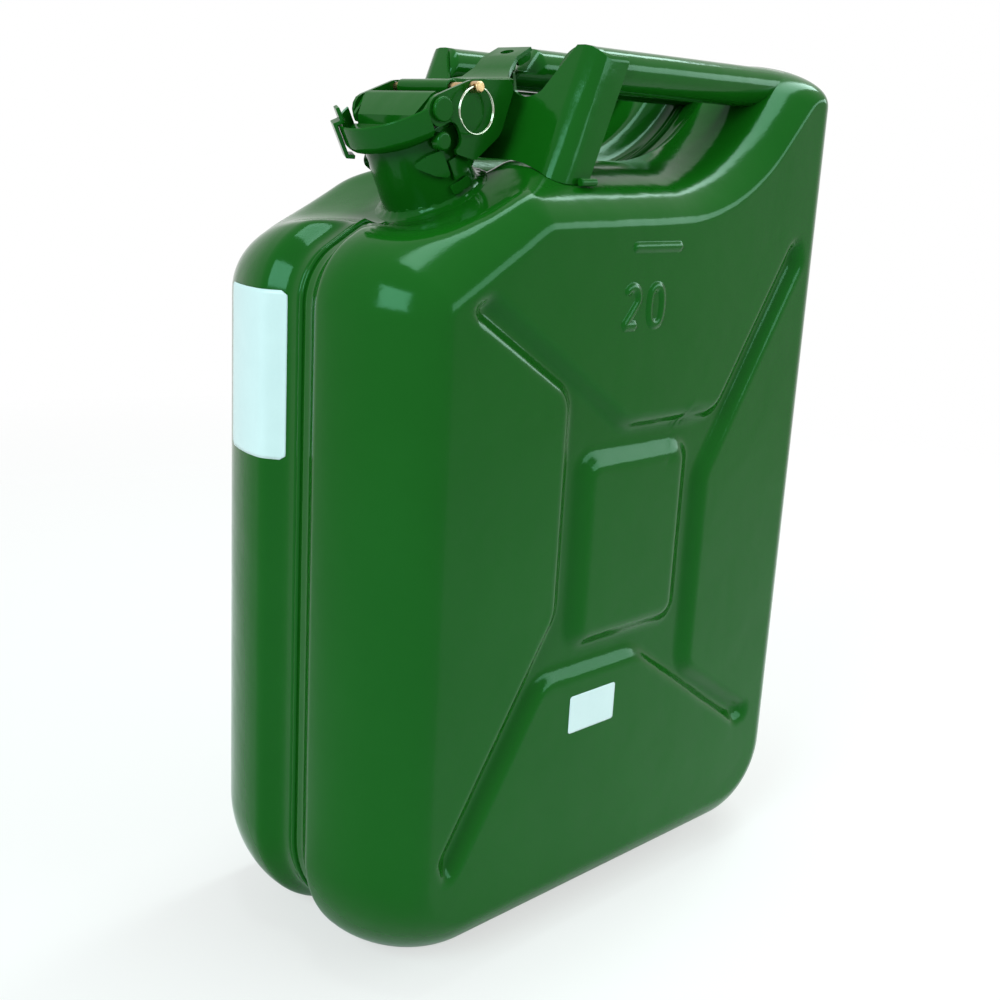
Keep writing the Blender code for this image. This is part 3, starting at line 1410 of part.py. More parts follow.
def build():
    shells()
    seam_weld()
    spout()
    spout_collar()
    for name, side in (("near", -1), ("far", 1)):
        catch_lug(f"catch_lug_{name}", side)
        bracket_weld_pad(f"spout_weld_{name}", side)
        trunnion(f"trunnion_{name}", side)
        foot_weld(f"bracket_weld_{name}", side)
    hinge_bracket()
    hinge_pin()
    handle_bracket()
    carrying_bars()
    breather_pipe()

    lid = add_axis("lid_hinge_axis", SPOUT @ Matrix.Translation((HINGE_BACK, 0, HINGE_RISE)))
    lid_cap(lid)
    gasket(lid)
    clamp_plate(lid)
    gasket_rivet(lid)
    lid_strap(lid)
    lid_bridge(lid)
    front_clip(lid)
    pivot_rivet("pivot_rivet_near", -1, lid)
    pivot_rivet("pivot_rivet_far", 1, lid)

    lever = add_axis("lever_pivot_axis", SPOUT @ Matrix.Translation((PIVOT_BACK, 0, PIVOT_RISE)), lid)
    lever_frame(lever)
    spacer_tube(lever)
    pin = add_axis("safety_pin_axis", SPOUT @ Matrix.Translation((PIN_BACK, 0, PIN_RISE)), lever)
    safety_pin(pin)
    ring = add_axis("pull_ring_axis", Matrix.Translation(ring_eye()), pin)
    pull_ring(ring)


build()
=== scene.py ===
"""The looks of a pressed steel fuel can with three carrying bars and a lever closure.

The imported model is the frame. The two pressed half shells, the weld beads, the carrying bars,
the split ring and the figures in the wide face are surfaces worked out here; the bracket and the
pieces of the closure stay as the frame has them, with rounded edges and a finish of their own.
Everything is in metres. +Z is up, +X points to the raised rear end, -Y is the near wide face.
"""

import json
import math

import bpy
import numpy as np
from mathutils import Matrix, Quaternion, Vector


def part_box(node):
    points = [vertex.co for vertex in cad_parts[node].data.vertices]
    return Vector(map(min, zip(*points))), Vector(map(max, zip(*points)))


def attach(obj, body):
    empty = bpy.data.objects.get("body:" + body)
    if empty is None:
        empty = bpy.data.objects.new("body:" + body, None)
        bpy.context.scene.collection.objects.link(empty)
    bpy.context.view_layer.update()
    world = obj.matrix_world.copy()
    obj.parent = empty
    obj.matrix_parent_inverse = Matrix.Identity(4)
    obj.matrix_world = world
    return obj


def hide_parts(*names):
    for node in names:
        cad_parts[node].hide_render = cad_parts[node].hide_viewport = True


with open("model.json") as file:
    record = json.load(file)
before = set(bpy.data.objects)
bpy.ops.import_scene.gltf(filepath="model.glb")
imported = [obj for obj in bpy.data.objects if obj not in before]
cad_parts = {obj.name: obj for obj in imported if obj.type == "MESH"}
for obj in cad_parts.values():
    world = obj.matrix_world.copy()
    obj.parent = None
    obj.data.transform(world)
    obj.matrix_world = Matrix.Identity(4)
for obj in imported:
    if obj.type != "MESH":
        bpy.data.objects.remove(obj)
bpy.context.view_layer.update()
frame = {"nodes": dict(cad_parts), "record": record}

# The body, as the frame has it
BODY_LOW, BODY_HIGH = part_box("shell_near")
BODY_HEIGHT = BODY_HIGH.z
HALF_WIDTH = BODY_HIGH.x
SEAM_EDGE = -BODY_HIGH.y
MARK_RISE = 0.0012
HALF_DEPTH = -BODY_LOW.y - MARK_RISE
SHEET = 0.001
FACE_START = 0.028
FACE_INSET = 0.033
FACE_POWER = 1.7
SIDE_SHARES = np.array((1.0, 1.0, 0.6, 0.6, 0.93, 1.0, 1.0))
SEAM_DEPTH = 0.008
SEAM_FLOOR_HALF = 0.010
SEAM_LIP_HALF = 0.021
SEAM_BEND = 0.0032
BODY_CORNERS = np.array(
    [
        (-HALF_WIDTH, 0, 0.063),
        (HALF_WIDTH, 0, 0.063),
        (HALF_WIDTH, BODY_HEIGHT, 0.030),
        (HALF_WIDTH - 0.0485, BODY_HEIGHT, 0.038),
        (HALF_WIDTH - 0.1005, 0.4195, 0.100),
        (0.0805 - HALF_WIDTH, 0.416, 0.040),
        (-HALF_WIDTH, 0.368, 0.040),
    ]
)

# The pattern pressed into each wide face
PATTERN_HEIGHT = 0.2195
PATTERN_HALF = np.array((0.135, 0.1685))
PATTERN_DEPTH = 0.0055
PATTERN_WALL = 0.0065
PATTERN_BEND = 0.0022
BOSS_WALL = 0.009
BOSS_HALF = np.array((0.0454, 0.0545))
BOSS_RADIUS = 0.014
PATTERN_HALF_SHARES = np.array(
    [
        (-0.444, 0.502, 0.09),
        (-1.000, 0.786, 0.05),
        (-0.844, 0.828, 0.05),
        (-0.081, 0.4095, 0.15),
        (0.467, 0.4095, 0.09),
        (0.941, 1.000, 0.05),
        (0.993, 0.869, 0.06),
        (0.444, 0.175, 0.12),
    ]
)

# The spout's own frame, and the seat pressed round it
SPOUT_LEAN = math.radians(28)
SPOUT_FOOT = np.array((-0.084, 0.0, 0.398))
SPOUT_RADIUS = 0.0250
SEAT_FLOOR_RADIUS = 0.034
SEAT_SLOPE = math.radians(49)
SEAT_BEND = 0.005
SEAT_SIDE_OPENING = 5.0
SEAT_CREST = 0.005
SEAT_HOLE = 0.0275
SEAT_REACH = 0.020

# How finely the surfaces are worked out
TRACK_SPACING = 0.0025
EDGE_RINGS = 25
FACE_RINGS = 74
INNER_STEP = 3
ROOM_SHARE = 0.98
LEAST_RADIUS = 0.0015
FLOOR_RINGS = 3
SLOPE_RINGS = 13
TURN_STEPS = 96
TUBE_STEPS = 40
BEAD_STEPS = 16
FILLET_STEPS = 9
FIGURE_SPACING = 0.0007

# The camera that took the photograph, solved from the can's own edges
CAMERA_PLACE = (-0.5408, -0.5171, 0.4237)
CAMERA_YAW = math.radians(44.11)
CAMERA_PITCH = math.radians(14.93)
CAMERA_ROLL = math.radians(2.96)
CAMERA_FOCUS_PX = 1325.8
CAMERA_CENTRE_PX = (478, 498)
PHOTO_PX = 1000
SENSOR_MM = 36
CLIP_START = 0.01


# Flat curves and soft steps


def soft_ramp(x, bend):
    """0 below zero and x above it, with a parabola between -bend and bend."""
    x = np.asarray(x, float)
    middle = (x + bend) ** 2 / (4 * bend)
    return np.where(x < -bend, 0.0, np.where(x > bend, x, middle))


def soft_step(x, start, end, bend):
    """From 0 at start to 1 at end in a straight slope whose two corners are parabolas."""
    return (soft_ramp(x - start, bend) - soft_ramp(x - end, bend)) / (end - start)


def soft_least(a, b, bend):
    """The lesser of a and b, with the crease between them rounded over a width of bend."""
    near = np.clip(bend - np.abs(a - b), 0, None) / bend
    return np.minimum(a, b) - near**2 * bend / 4


def corner_layout(corners):
    """Each side's way and length, and each corner's turn, radius and reach along its sides.

    A corner of turn t and radius r takes r tan(t / 2) off both its sides. Where two corners
    want more than their side has, both are drawn smaller.
    """
    places, radii = corners[:, :2], corners[:, 2]
    ways = np.roll(places, -1, axis=0) - places
    lengths = np.linalg.norm(ways, axis=1)
    ways = ways / lengths[:, None]
    before = np.roll(ways, 1, axis=0)
    sines = before[:, 0] * ways[:, 1] - before[:, 1] * ways[:, 0]
    turns = np.arctan2(sines, (before * ways).sum(axis=1))
    reach = radii * np.tan(np.abs(turns) / 2)
    room = lengths / (reach + np.roll(reach, -1))
    share = np.minimum(1, ROOM_SHARE * np.minimum(room, np.roll(room, 1)))
    return ways, lengths, turns, radii * share, reach * share


def point_counts(corners, spacing):
    """How many points a spacing apart the arc at each corner and the side after it take."""
    _, lengths, turns, radii, reach = corner_layout(corners)
    arcs = np.maximum(4, np.ceil(radii * np.abs(turns) / spacing)).astype(int)
    runs = lengths - reach - np.roll(reach, -1)
    return list(zip(arcs, np.maximum(1, np.ceil(runs / spacing)).astype(int)))


def rounded_track(corners, counts):
    """Points and inward normals round an anticlockwise polygon of (x, z, radius) corners.

    Along a corner's arc the normal turns evenly, and the point stays the radius away from the
    arc's centre. The counts are the points on each arc and on the side after it.
    """
    ways, lengths, turns, radii, reach = corner_layout(corners)
    points, normals = [], []
    for i, (arc_count, side_count) in enumerate(counts):
        corner, before = corners[i, :2], ways[i - 1]
        left = np.array((-before[1], before[0]))
        bow = math.copysign(radii[i], turns[i])
        centre = corner - before * reach[i] + left * bow
        angle = turns[i] * np.arange(arc_count) / arc_count
        normal = np.outer(np.cos(angle), left) - np.outer(np.sin(angle), before)
        points.append(centre - normal * bow)
        normals.append(normal)
        run = lengths[i] - reach[i] - np.roll(reach, -1)[i]
        along = reach[i] + run * np.arange(side_count) / side_count
        points.append(corner + np.outer(along, ways[i]))
        normals.append(np.tile((-ways[i][1], ways[i][0]), (side_count, 1)))
    return np.concatenate(points), np.concatenate(normals)


def even_track(corners):
    return rounded_track(corners, point_counts(corners, TRACK_SPACING))


def moved_in(corners, insets):
    """The polygon with the side after each corner moved in by a length of its own.

    A moved corner keeps its arc's centre, so its radius shrinks outside and grows inside.
    """
    ways, _, turns, _, _ = corner_layout(corners)
    before, earlier = np.roll(ways, 1, axis=0), np.roll(insets, 1)
    shift = earlier[:, None] * ways - insets[:, None] * before
    radii = corners[:, 2] - np.copysign((earlier + insets) / 2, turns)
    places = corners[:, :2] + shift / np.sin(turns)[:, None]
    return np.column_stack([places, np.maximum(radii, LEAST_RADIUS)])


def depth_inside(places, outline):
    """How far each place lies inside a closed outline: its distance to the nearest side.

    The sign comes from the number of sides that a ray towards +x crosses.
    """
    flat = places.reshape(-1, 2)
    nearest = np.full(len(flat), np.inf)
    crossings = np.zeros(len(flat), int)
    for start, end in zip(outline, np.roll(outline, -1, axis=0)):
        side = end - start
        share = np.clip((flat - start) @ side / (side @ side), 0, 1)
        away = flat - start - np.outer(share, side)
        nearest = np.minimum(nearest, np.hypot(away[:, 0], away[:, 1]))
        spans = (start[1] > flat[:, 1]) != (end[1] > flat[:, 1])
        rise = side[1] if side[1] else 1.0
        meets = start[0] + (flat[:, 1] - start[1]) * side[0] / rise
        crossings += spans & (flat[:, 0] < meets)
    return np.where(crossings % 2 == 1, nearest, -nearest).reshape(places.shape[:-1])


# Meshes over grids of points


def skin(rows, closed=False, start_pole=None, end_pole=None):
    """Vertices and faces over rows of points, each row closing on itself.

    A pole is one point that a fan of triangles joins to the first or the last row.
    """
    count, width = rows.shape[:2]
    index = np.arange(count * width).reshape(count, width)
    if closed:
        index = np.vstack([index, index[:1]])
    ahead = np.roll(index, -1, axis=1)
    quads = np.stack([index[:-1], index[1:], ahead[1:], ahead[:-1]], axis=-1).reshape(-1, 4)
    points = [rows.reshape(-1, 3)]
    faces = quads.tolist()
    for pole, ring, turned in ((start_pole, 0, True), (end_pole, -1, False)):
        if pole is None:
            continue
        tip = sum(len(p) for p in points)
        points.append(np.array([pole], float))
        first, second = (ahead[ring], index[ring]) if turned else (index[ring], ahead[ring])
        fan = np.stack([first, np.full(width, tip), second], axis=-1)
        faces += fan.tolist()
    return np.concatenate(points), faces


def facing_out(points, faces):
    """The faces of a closed surface, turned round if the volume that they enclose is negative."""
    corners = np.array([points[face[:3]] for face in faces])
    doubled = np.array([points[[face[0], face[2], face[-1]]] for face in faces])
    volume = np.linalg.det(corners).sum() + np.linalg.det(doubled).sum()
    return faces if volume > 0 else [face[::-1] for face in faces]


def make_piece(name, points, faces, body, finish, stands_for=()):
    """A piece of the can with smooth faces, riding on a body and standing for CAD nodes."""
    mesh = bpy.data.meshes.new(name)
    mesh.from_pydata(points.tolist(), [], faces)
    mesh.polygons.foreach_set("use_smooth", [True] * len(mesh.polygons))
    mesh.materials.append(finish)
    mesh.update()
    piece = bpy.data.objects.new(name, mesh)
    bpy.context.scene.collection.objects.link(piece)
    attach(piece, body)
    if stands_for:
        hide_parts(*stands_for)
    return piece


def tube_rows(path, across, up, closed=False):
    """Rows round a path in a plane: each path point plus a section in its side and up ways.

    The side way is square to both the path and up. Across and up give the section's two
    coordinates, as (points along the path, points round the section) arrays or one row.
    """
    if closed:
        way = np.roll(path, -1, axis=0) - np.roll(path, 1, axis=0)
    else:
        way = np.gradient(path, axis=0)
    way = way / np.linalg.norm(way, axis=1)[:, None]
    side = np.cross(way, up[0])
    side = side / np.linalg.norm(side, axis=1)[:, None]
    return path[:, None] + across[..., None] * side[:, None] + up[1][..., None] * up[0]


def circle(radius, steps=TUBE_STEPS):
    angle = 2 * math.pi * np.arange(steps) / steps
    return radius * np.cos(angle), radius * np.sin(angle)


def round_ends(path, radius):
    """The share of its full thickness that a bead has along its path, falling to 0 at both ends
    as a quarter circle does."""
    steps = np.linalg.norm(np.diff(path, axis=0), axis=1)
    along = np.concatenate([[0], np.cumsum(steps)])
    left = np.clip(np.minimum(along, along[-1] - along) / radius, 0, 1)
    return np.sqrt(1 - (1 - left) ** 2)


def even_path(points, spacing):
    """Points a spacing apart along a broken line."""
    points = np.array(points, float)
    steps = np.linalg.norm(np.diff(points, axis=0), axis=1)
    along = np.concatenate([[0], np.cumsum(steps)])
    count = max(4, math.ceil(along[-1] / spacing) + 1)
    wanted = np.linspace(0, along[-1], count)
    return np.stack([np.interp(wanted, along, points[:, i]) for i in range(points.shape[1])], -1)


def in_can(u, y, h):
    """A place in the spout's frame, in the can's frame."""
    c, s = math.cos(SPOUT_LEAN), math.sin(SPOUT_LEAN)
    u, y, h = np.broadcast_arrays(u, y, h)
    return SPOUT_FOOT + np.stack([u * c - h * s, y, u * s + h * c], axis=-1)


def in_spout(points):
    """Places in the can's frame, in the spout's frame."""
    c, s = math.cos(SPOUT_LEAN), math.sin(SPOUT_LEAN)
    x, y, z = np.moveaxis(points - SPOUT_FOOT, -1, 0)
    return x * c + z * s, y, z * c - x * s


def turned_rows(profile, wobble=None):
    """A (radius, height) profile turned about the spout's axis, with a small added radius."""
    angle = 2 * math.pi * np.arange(TURN_STEPS) / TURN_STEPS
    radius = np.array(profile)[:, 0][:, None] + (0 if wobble is None else wobble(angle))
    height = np.array(profile)[:, 1][:, None]
    return in_can(radius * np.cos(angle), radius * np.sin(angle), height + 0 * angle)


# The two pressed half shells


def seam_inset(out):
    """How far in the groove has the outline, at a distance from the middle plane."""
    return SEAM_DEPTH * (1 - soft_step(out, SEAM_FLOOR_HALF, SEAM_LIP_HALF, SEAM_BEND))


def edge_inset(out):
    """How far in the wide face's rounded edge has the outline: a quarter of a superellipse."""
    reach = np.clip((out - FACE_START) / (HALF_DEPTH - FACE_START), 0, 1)
    return FACE_INSET * (1 - (1 - reach**FACE_POWER) ** (1 / FACE_POWER))


def rim_distances():
    """The distances from the middle plane of the outline's rings, from the seam to the face."""
    floor = np.linspace(SEAM_EDGE, SEAM_FLOOR_HALF - SEAM_BEND, FLOOR_RINGS)[:-1]
    slope = np.linspace(SEAM_FLOOR_HALF - SEAM_BEND, SEAM_LIP_HALF + SEAM_BEND, SLOPE_RINGS)
    angle = np.radians(90) * np.arange(EDGE_RINGS) / (EDGE_RINGS - 1)
    edge = FACE_START + (HALF_DEPTH - FACE_START) * np.sin(angle) ** (2 / FACE_POWER)
    return np.concatenate([floor, slope, edge])


def pressed_depth(places):
    """How deep the pattern lies at each (x, z): a recess with sloping walls, less the boss."""
    shape = PATTERN_HALF_SHARES * (*PATTERN_HALF, PATTERN_HALF[0])
    whole = np.concatenate([shape, shape * (-1, -1, 1)])[::-1]
    middle = (0, PATTERN_HEIGHT, 0)
    recess, _ = even_track(whole + middle)
    width, height = BOSS_HALF
    boss_corners = [(-width, -height), (width, -height), (width, height), (-width, height)]
    boss_shape = np.array([(*corner, BOSS_RADIUS) for corner in boss_corners]) + middle
    boss, _ = even_track(boss_shape)
    sunk = soft_step(depth_inside(places, recess), 0, PATTERN_WALL, PATTERN_BEND)
    raised = soft_step(depth_inside(places, boss), 0, BOSS_WALL, PATTERN_BEND)
    return PATTERN_DEPTH * sunk * (1 - raised)


def seated(points):
    """The shoulder pressed down to a flat floor and a cone round the spout's foot.

    The cone leans out further towards the two wide faces than to the front and the rear.
    """
    u, y, h = in_spout(points)
    radius = np.hypot(u, y)
    sideways = (y / np.maximum(radius, LEAST_RADIUS)) ** 2
    run = math.tan(SEAT_SLOPE) + SEAT_SIDE_OPENING * sideways
    cone = soft_ramp(radius - SEAT_FLOOR_RADIUS, SEAT_BEND) / run
    pressed = np.where(h > -SEAT_REACH, soft_least(h, cone, SEAT_CREST), h)
    return in_can(u, y, pressed)


def shell_rows(side):
    """Rows of the shell's outside from the seam to near the middle of its wide face."""
    counts = point_counts(BODY_CORNERS, TRACK_SPACING)
    out = rim_distances()
    rim = []
    for seam, edge in zip(seam_inset(out), edge_inset(out)):
        corners = moved_in(BODY_CORNERS, seam + edge * SIDE_SHARES)
        rim.append(rounded_track(corners, counts)[0])
    rim = np.array(rim)
    centre = np.array((0, PATTERN_HEIGHT))
    share = 1 - np.arange(1, FACE_RINGS) / FACE_RINGS
    flat = centre + share[:, None, None] * (rim[-1] - centre)
    face_out = HALF_DEPTH - pressed_depth(flat)
    places = np.concatenate([rim, flat])
    rim_out = np.broadcast_to(out[:, None], rim.shape[:2])
    away = side * np.concatenate([rim_out, face_out])
    return seated(np.stack([places[..., 0], away, places[..., 1]], axis=-1))


def shell(name, side, finish):
    """One pressing: its outside, its inside one sheet's thickness within, and the seam's edge."""
    outer = shell_rows(side)
    around = np.roll(outer, -1, axis=1) - np.roll(outer, 1, axis=1)
    normal = np.cross(np.gradient(outer, axis=0), around) * side
    normal = normal / np.linalg.norm(normal, axis=-1)[..., None]
    inner = (outer - SHEET * normal)[::-INNER_STEP]
    if (len(outer) - 1) % INNER_STEP:
        inner = np.concatenate([inner, (outer - SHEET * normal)[:1]])
    rows = np.concatenate([inner, outer])
    middle = np.array((0, side * HALF_DEPTH, PATTERN_HEIGHT))
    inside = middle - (0, side * SHEET, 0)
    points, faces = skin(rows, start_pole=inside, end_pole=middle)
    u, y, h = in_spout(points)
    in_hole = (np.hypot(u, y) < SEAT_HOLE) & (h > -SEAT_REACH)
    faces = [face for face in faces if not in_hole[face].all()]
    if side < 0:
        faces = [face[::-1] for face in faces]
    return make_piece(name + "_skin", points, faces, "can", finish, [name])


SEAM_RIPPLE_SHARE = 0.08
SEAM_RIPPLE_PITCH = 0.004


def bead_wobble(along, height, pitch):
    """The ripples of a weld run: a sine along it, and a slower one that shifts its size."""
    fine = np.sin(2 * math.pi * along / pitch + np.sin(along / pitch))
    slow = np.sin(2 * math.pi * along / (pitch * 7) + 1)
    return height * (fine * 0.5 + slow * 0.5)


def seam_bead(finish):
    """The bead along the groove's floor: a tube round the inset outline, left out in the seat."""
    track, inward = even_track(BODY_CORNERS)
    path = track + (SEAM_DEPTH + SHEET / 2) * inward
    spread = np.stack([path[:, 0], 0 * path[:, 0], path[:, 1]], axis=-1)
    u, _, h = in_spout(spread)
    crest = np.abs(u) < SEAT_FLOOR_RADIUS + np.clip(h, 0, None) * math.tan(SEAT_SLOPE)
    in_seat = np.flatnonzero(crest & (h > -SEAT_REACH))
    rear = -(in_seat[-1] + 1) % len(spread)
    run = np.roll(spread, rear, axis=0)[: len(spread) - len(in_seat)]
    low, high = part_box("seam_weld")
    radius = (high.y - low.y) / 2
    corner = in_can(-SEAT_FLOOR_RADIUS - SEAT_BEND / 3, 0.0, -SHEET / 2)
    foot = in_can(-SPOUT_RADIUS - SEAT_BEND, 0.0, -SHEET / 2)
    run = even_path(np.concatenate([[foot, corner], run]), TRACK_SPACING)
    steps = np.linalg.norm(np.diff(run, axis=0), axis=1)
    along = np.concatenate([[0], np.cumsum(steps)])
    ripple = bead_wobble(along, radius * SEAM_RIPPLE_SHARE, SEAM_RIPPLE_PITCH)
    size = radius * round_ends(run, radius) + ripple
    across, up = circle(1.0, BEAD_STEPS)
    rows = tube_rows(run, np.outer(size, across), ((0, 1, 0), np.outer(size, up)))
    points, faces = skin(rows, start_pole=run[0], end_pole=run[-1])
    faces = facing_out(points, faces)
    return make_piece("seam_bead", points, faces, "can", finish, ["seam_weld"])


# Figures and the bar pressed outwards in the near face, and plain labels


def pressed_stroke(name, path, half, rise, finish, closed=False):
    """A ridge along a line in the wide face: over its width it rises as the cube of a sine."""
    angle = 2 * math.pi * np.arange(TUBE_STEPS) / TUBE_STEPS
    across = half * np.cos(angle)
    sine = np.sin(angle)
    height = np.where(sine > 0, rise * sine**3, SHEET * sine / 2)
    spread = np.stack([path[:, 0], 0 * path[:, 0] - HALF_DEPTH, path[:, 1]], axis=-1)
    share = np.ones(len(path)) if closed else round_ends(spread, half)
    rows = tube_rows(
        spread, np.outer(share, across), ((0, -1, 0), np.outer(share, height)), closed
    )
    poles = {} if closed else {"start_pole": spread[0], "end_pole": spread[-1]}
    points, faces = skin(rows, closed, **poles)
    return make_piece(name, points, facing_out(points, faces), "can", finish)


FIGURE_BASE = 0.338
FIGURE_HEIGHT = 0.0192
FIGURE_WIDTH = 0.0102
FIGURE_PITCH = 0.0190
FIGURE_START = -0.0222
STROKE_HALF = 0.0030
TWO_BOW = (165, -35, 24)
NOUGHT_STEPS = 72
NOUGHT_POWER = 0.8
PRESSED_BAR = ((-0.0197, 0.3775), (0.0203, 0.3775))


def figure_two(left):
    """A 2: most of a circle above, then a straight stroke down to its foot, then the foot."""
    radius = FIGURE_WIDTH / 2
    angle = np.radians(np.linspace(*TWO_BOW))
    top = FIGURE_BASE + FIGURE_HEIGHT - radius
    bow = np.stack([left + radius + radius * np.cos(angle), top + radius * np.sin(angle)], -1)
    foot = [(left, FIGURE_BASE), (left + FIGURE_WIDTH, FIGURE_BASE)]
    return even_path(np.concatenate([bow, foot]), FIGURE_SPACING)


def figure_nought(left):
    """A 0: a rounded oval, from powers of a sine and a cosine."""
    angle = 2 * math.pi * np.arange(NOUGHT_STEPS) / NOUGHT_STEPS
    cosine, sine = np.cos(angle), np.sin(angle)
    x = np.sign(cosine) * np.abs(cosine) ** NOUGHT_POWER * FIGURE_WIDTH / 2
    z = np.sign(sine) * np.abs(sine) ** NOUGHT_POWER * FIGURE_HEIGHT / 2
    return np.stack([left + FIGURE_WIDTH / 2 + x, FIGURE_BASE + FIGURE_HEIGHT / 2 + z], -1)


def figures(finish):
    pressed_stroke("figure_two", figure_two(FIGURE_START), STROKE_HALF, MARK_RISE, finish)
    nought = figure_nought(FIGURE_START + FIGURE_PITCH)
    pressed_stroke("figure_nought", nought, STROKE_HALF, MARK_RISE, finish, closed=True)
    bar = even_path(PRESSED_BAR, FIGURE_SPACING)
    pressed_stroke("pressed_bar", bar, STROKE_HALF, MARK_RISE, finish)


LABEL_LIFT = 0.00015
LABEL_THICK = 0.00012
FRONT_LABEL_Z = (0.267, 0.351)
FRONT_LABEL_Y = (0.010, 0.056)
FRONT_LABEL_RADIUS = 0.003
FRONT_LABEL_STEPS = 41
FACE_LABEL_CENTRE = (-0.0245, 0.1295)
FACE_LABEL_HALF = (0.0182, 0.0108)
FACE_LABEL_RADIUS = 0.0012
FACE_LABEL_STEPS = (31, 25)


def label_sheet(name, points, finish):
    """A thin sheet over a grid of places."""
    rows, columns = points.shape[:2]
    index = np.arange(rows * columns).reshape(rows, columns)
    quads = np.stack([index[:-1, :-1], index[1:, :-1], index[1:, 1:], index[:-1, 1:]], -1)
    faces = quads.reshape(-1, 4).tolist()
    piece = make_piece(name, points.reshape(-1, 3), faces, "can", finish)
    solid = piece.modifiers.new("paper", "SOLIDIFY")
    solid.thickness = LABEL_THICK
    solid.offset = 1.0
    return piece


def corner_cut(share, size, radius):
    """How far a rounded corner draws a row's end in, at a share of the sheet's height."""
    edge = np.minimum(share, 1 - share) * size
    short = np.clip(radius - edge, 0, radius)
    return radius - np.sqrt(radius**2 - short**2)


def front_label(finish):
    """The plain label on the front narrow face, following the face and the groove's slope."""
    (low, high), (near, far) = FRONT_LABEL_Z, FRONT_LABEL_Y
    share = across = np.linspace(0, 1, FRONT_LABEL_STEPS)
    cut = corner_cut(share, high - low, FRONT_LABEL_RADIUS)
    y = near + cut[:, None] + across * (far - near - 2 * cut[:, None])
    inset = seam_inset(y) + edge_inset(y)
    z = np.broadcast_to((low + share * (high - low))[:, None], y.shape)
    points = np.stack([-HALF_WIDTH + inset - LABEL_LIFT, y, z], axis=-1)
    return label_sheet("front_label", points, finish)


def face_label(finish):
    """The small plain sticker low on the near wide face."""
    centre, half = FACE_LABEL_CENTRE, FACE_LABEL_HALF
    share = np.linspace(0, 1, FACE_LABEL_STEPS[1])
    cut = corner_cut(share, 2 * half[1], FACE_LABEL_RADIUS)[:, None]
    across = np.linspace(-1, 1, FACE_LABEL_STEPS[0])
    x = centre[0] - across * (half[0] - cut)
    z = np.broadcast_to((centre[1] + (2 * share - 1) * half[1])[:, None], x.shape)
    depth = pressed_depth(np.stack([x, z], axis=-1))
    points = np.stack([x, depth - HALF_DEPTH - LABEL_LIFT, z], axis=-1)
    return label_sheet("face_label", points, finish)


# Bars, the collar weld and the split ring

BRACKET_LEAN = math.radians(22.5)
BRACKET_FOLD = 0.011
BRACKET_HALF = 0.0635
BAR_ROWS = 60
BAR_DROP_START = 0.85
BARS = (("bar_near", -0.05, 0.001), ("bar_centre", 0, 0.007), ("bar_far", 0.05, 0.001))
TONGUE_ROOM = (-0.0185, 0.4603)


def web_start(y, z, low):
    """Where a bar's line begins: on the bracket's leaning web, and round its fold."""
    fold = np.clip(np.abs(y) - BRACKET_HALF + BRACKET_FOLD, 0, BRACKET_FOLD * ROOM_SHARE)
    round_the_fold = BRACKET_FOLD - np.sqrt(BRACKET_FOLD**2 - fold**2)
    return low.x + (z - low.z) * math.tan(BRACKET_LEAN) + round_the_fold / math.cos(BRACKET_LEAN)


def carrying_bar(name, middle, sink, finish):
    """A round bar of straight lines from the bracket back into the hump, where it sinks in.

    The drop over its last stretch is a parabola. The centre bar leaves room for the tongue.
    """
    low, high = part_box(name)
    radius = (high.y - low.y) / 2
    axis = high.z - radius
    across, up = circle(radius, TURN_STEPS)
    y, z = middle + across, axis + up
    start = web_start(y, z, Vector((low.x, 0, axis - radius)))
    if middle == 0:
        start = np.where(z > TONGUE_ROOM[1], np.maximum(start, TONGUE_ROOM[0]), start)
    share = np.linspace(0, 1, BAR_ROWS)[:, None]
    x = start + share * (high.x - start)
    last = np.clip((share - BAR_DROP_START) / (1 - BAR_DROP_START), 0, 1)
    rows = np.stack([x, y + 0 * x, z - sink * last**2 + 0 * x], axis=-1)
    ends = rows.mean(axis=1)
    points, faces = skin(rows, start_pole=ends[0], end_pole=ends[-1])
    faces = facing_out(points, faces)
    return make_piece(name + "_tube", points, faces, "can", finish, [name])


COLLAR_INNER = 0.0245
COLLAR_OUTER = 0.0302
COLLAR_RISE = 0.0046
COLLAR_SUNK = 0.0006
COLLAR_RIPPLE = 0.00035
COLLAR_RIPPLE_PITCH = 0.0075


def weld_collar(finish):
    """The weld ring round the spout's foot: a quarter-round fillet with ripples in its radius."""
    inner, outer, rise = COLLAR_INNER, COLLAR_OUTER, COLLAR_RISE
    angle = np.radians(np.linspace(0, 90, FILLET_STEPS))
    bow = [(outer - (outer - inner) * math.sin(a), rise * (1 - math.cos(a))) for a in angle]
    profile = [(outer + COLLAR_SUNK, -COLLAR_SUNK), *bow, (inner, -COLLAR_SUNK)]

    def ripples(turn):
        return bead_wobble(turn * outer, COLLAR_RIPPLE, COLLAR_RIPPLE_PITCH)

    rows = turned_rows(profile, ripples)
    points, faces = skin(rows, closed=True)
    faces = facing_out(points, faces)
    node = ["spout_collar"]
    return make_piece("collar_bead", points, faces, "can", finish, node)


RING_POINTS = 193
RING_START = math.radians(200)
RING_STEP = (1.8 * math.pi, 2.2 * math.pi, 0.2 * math.pi)


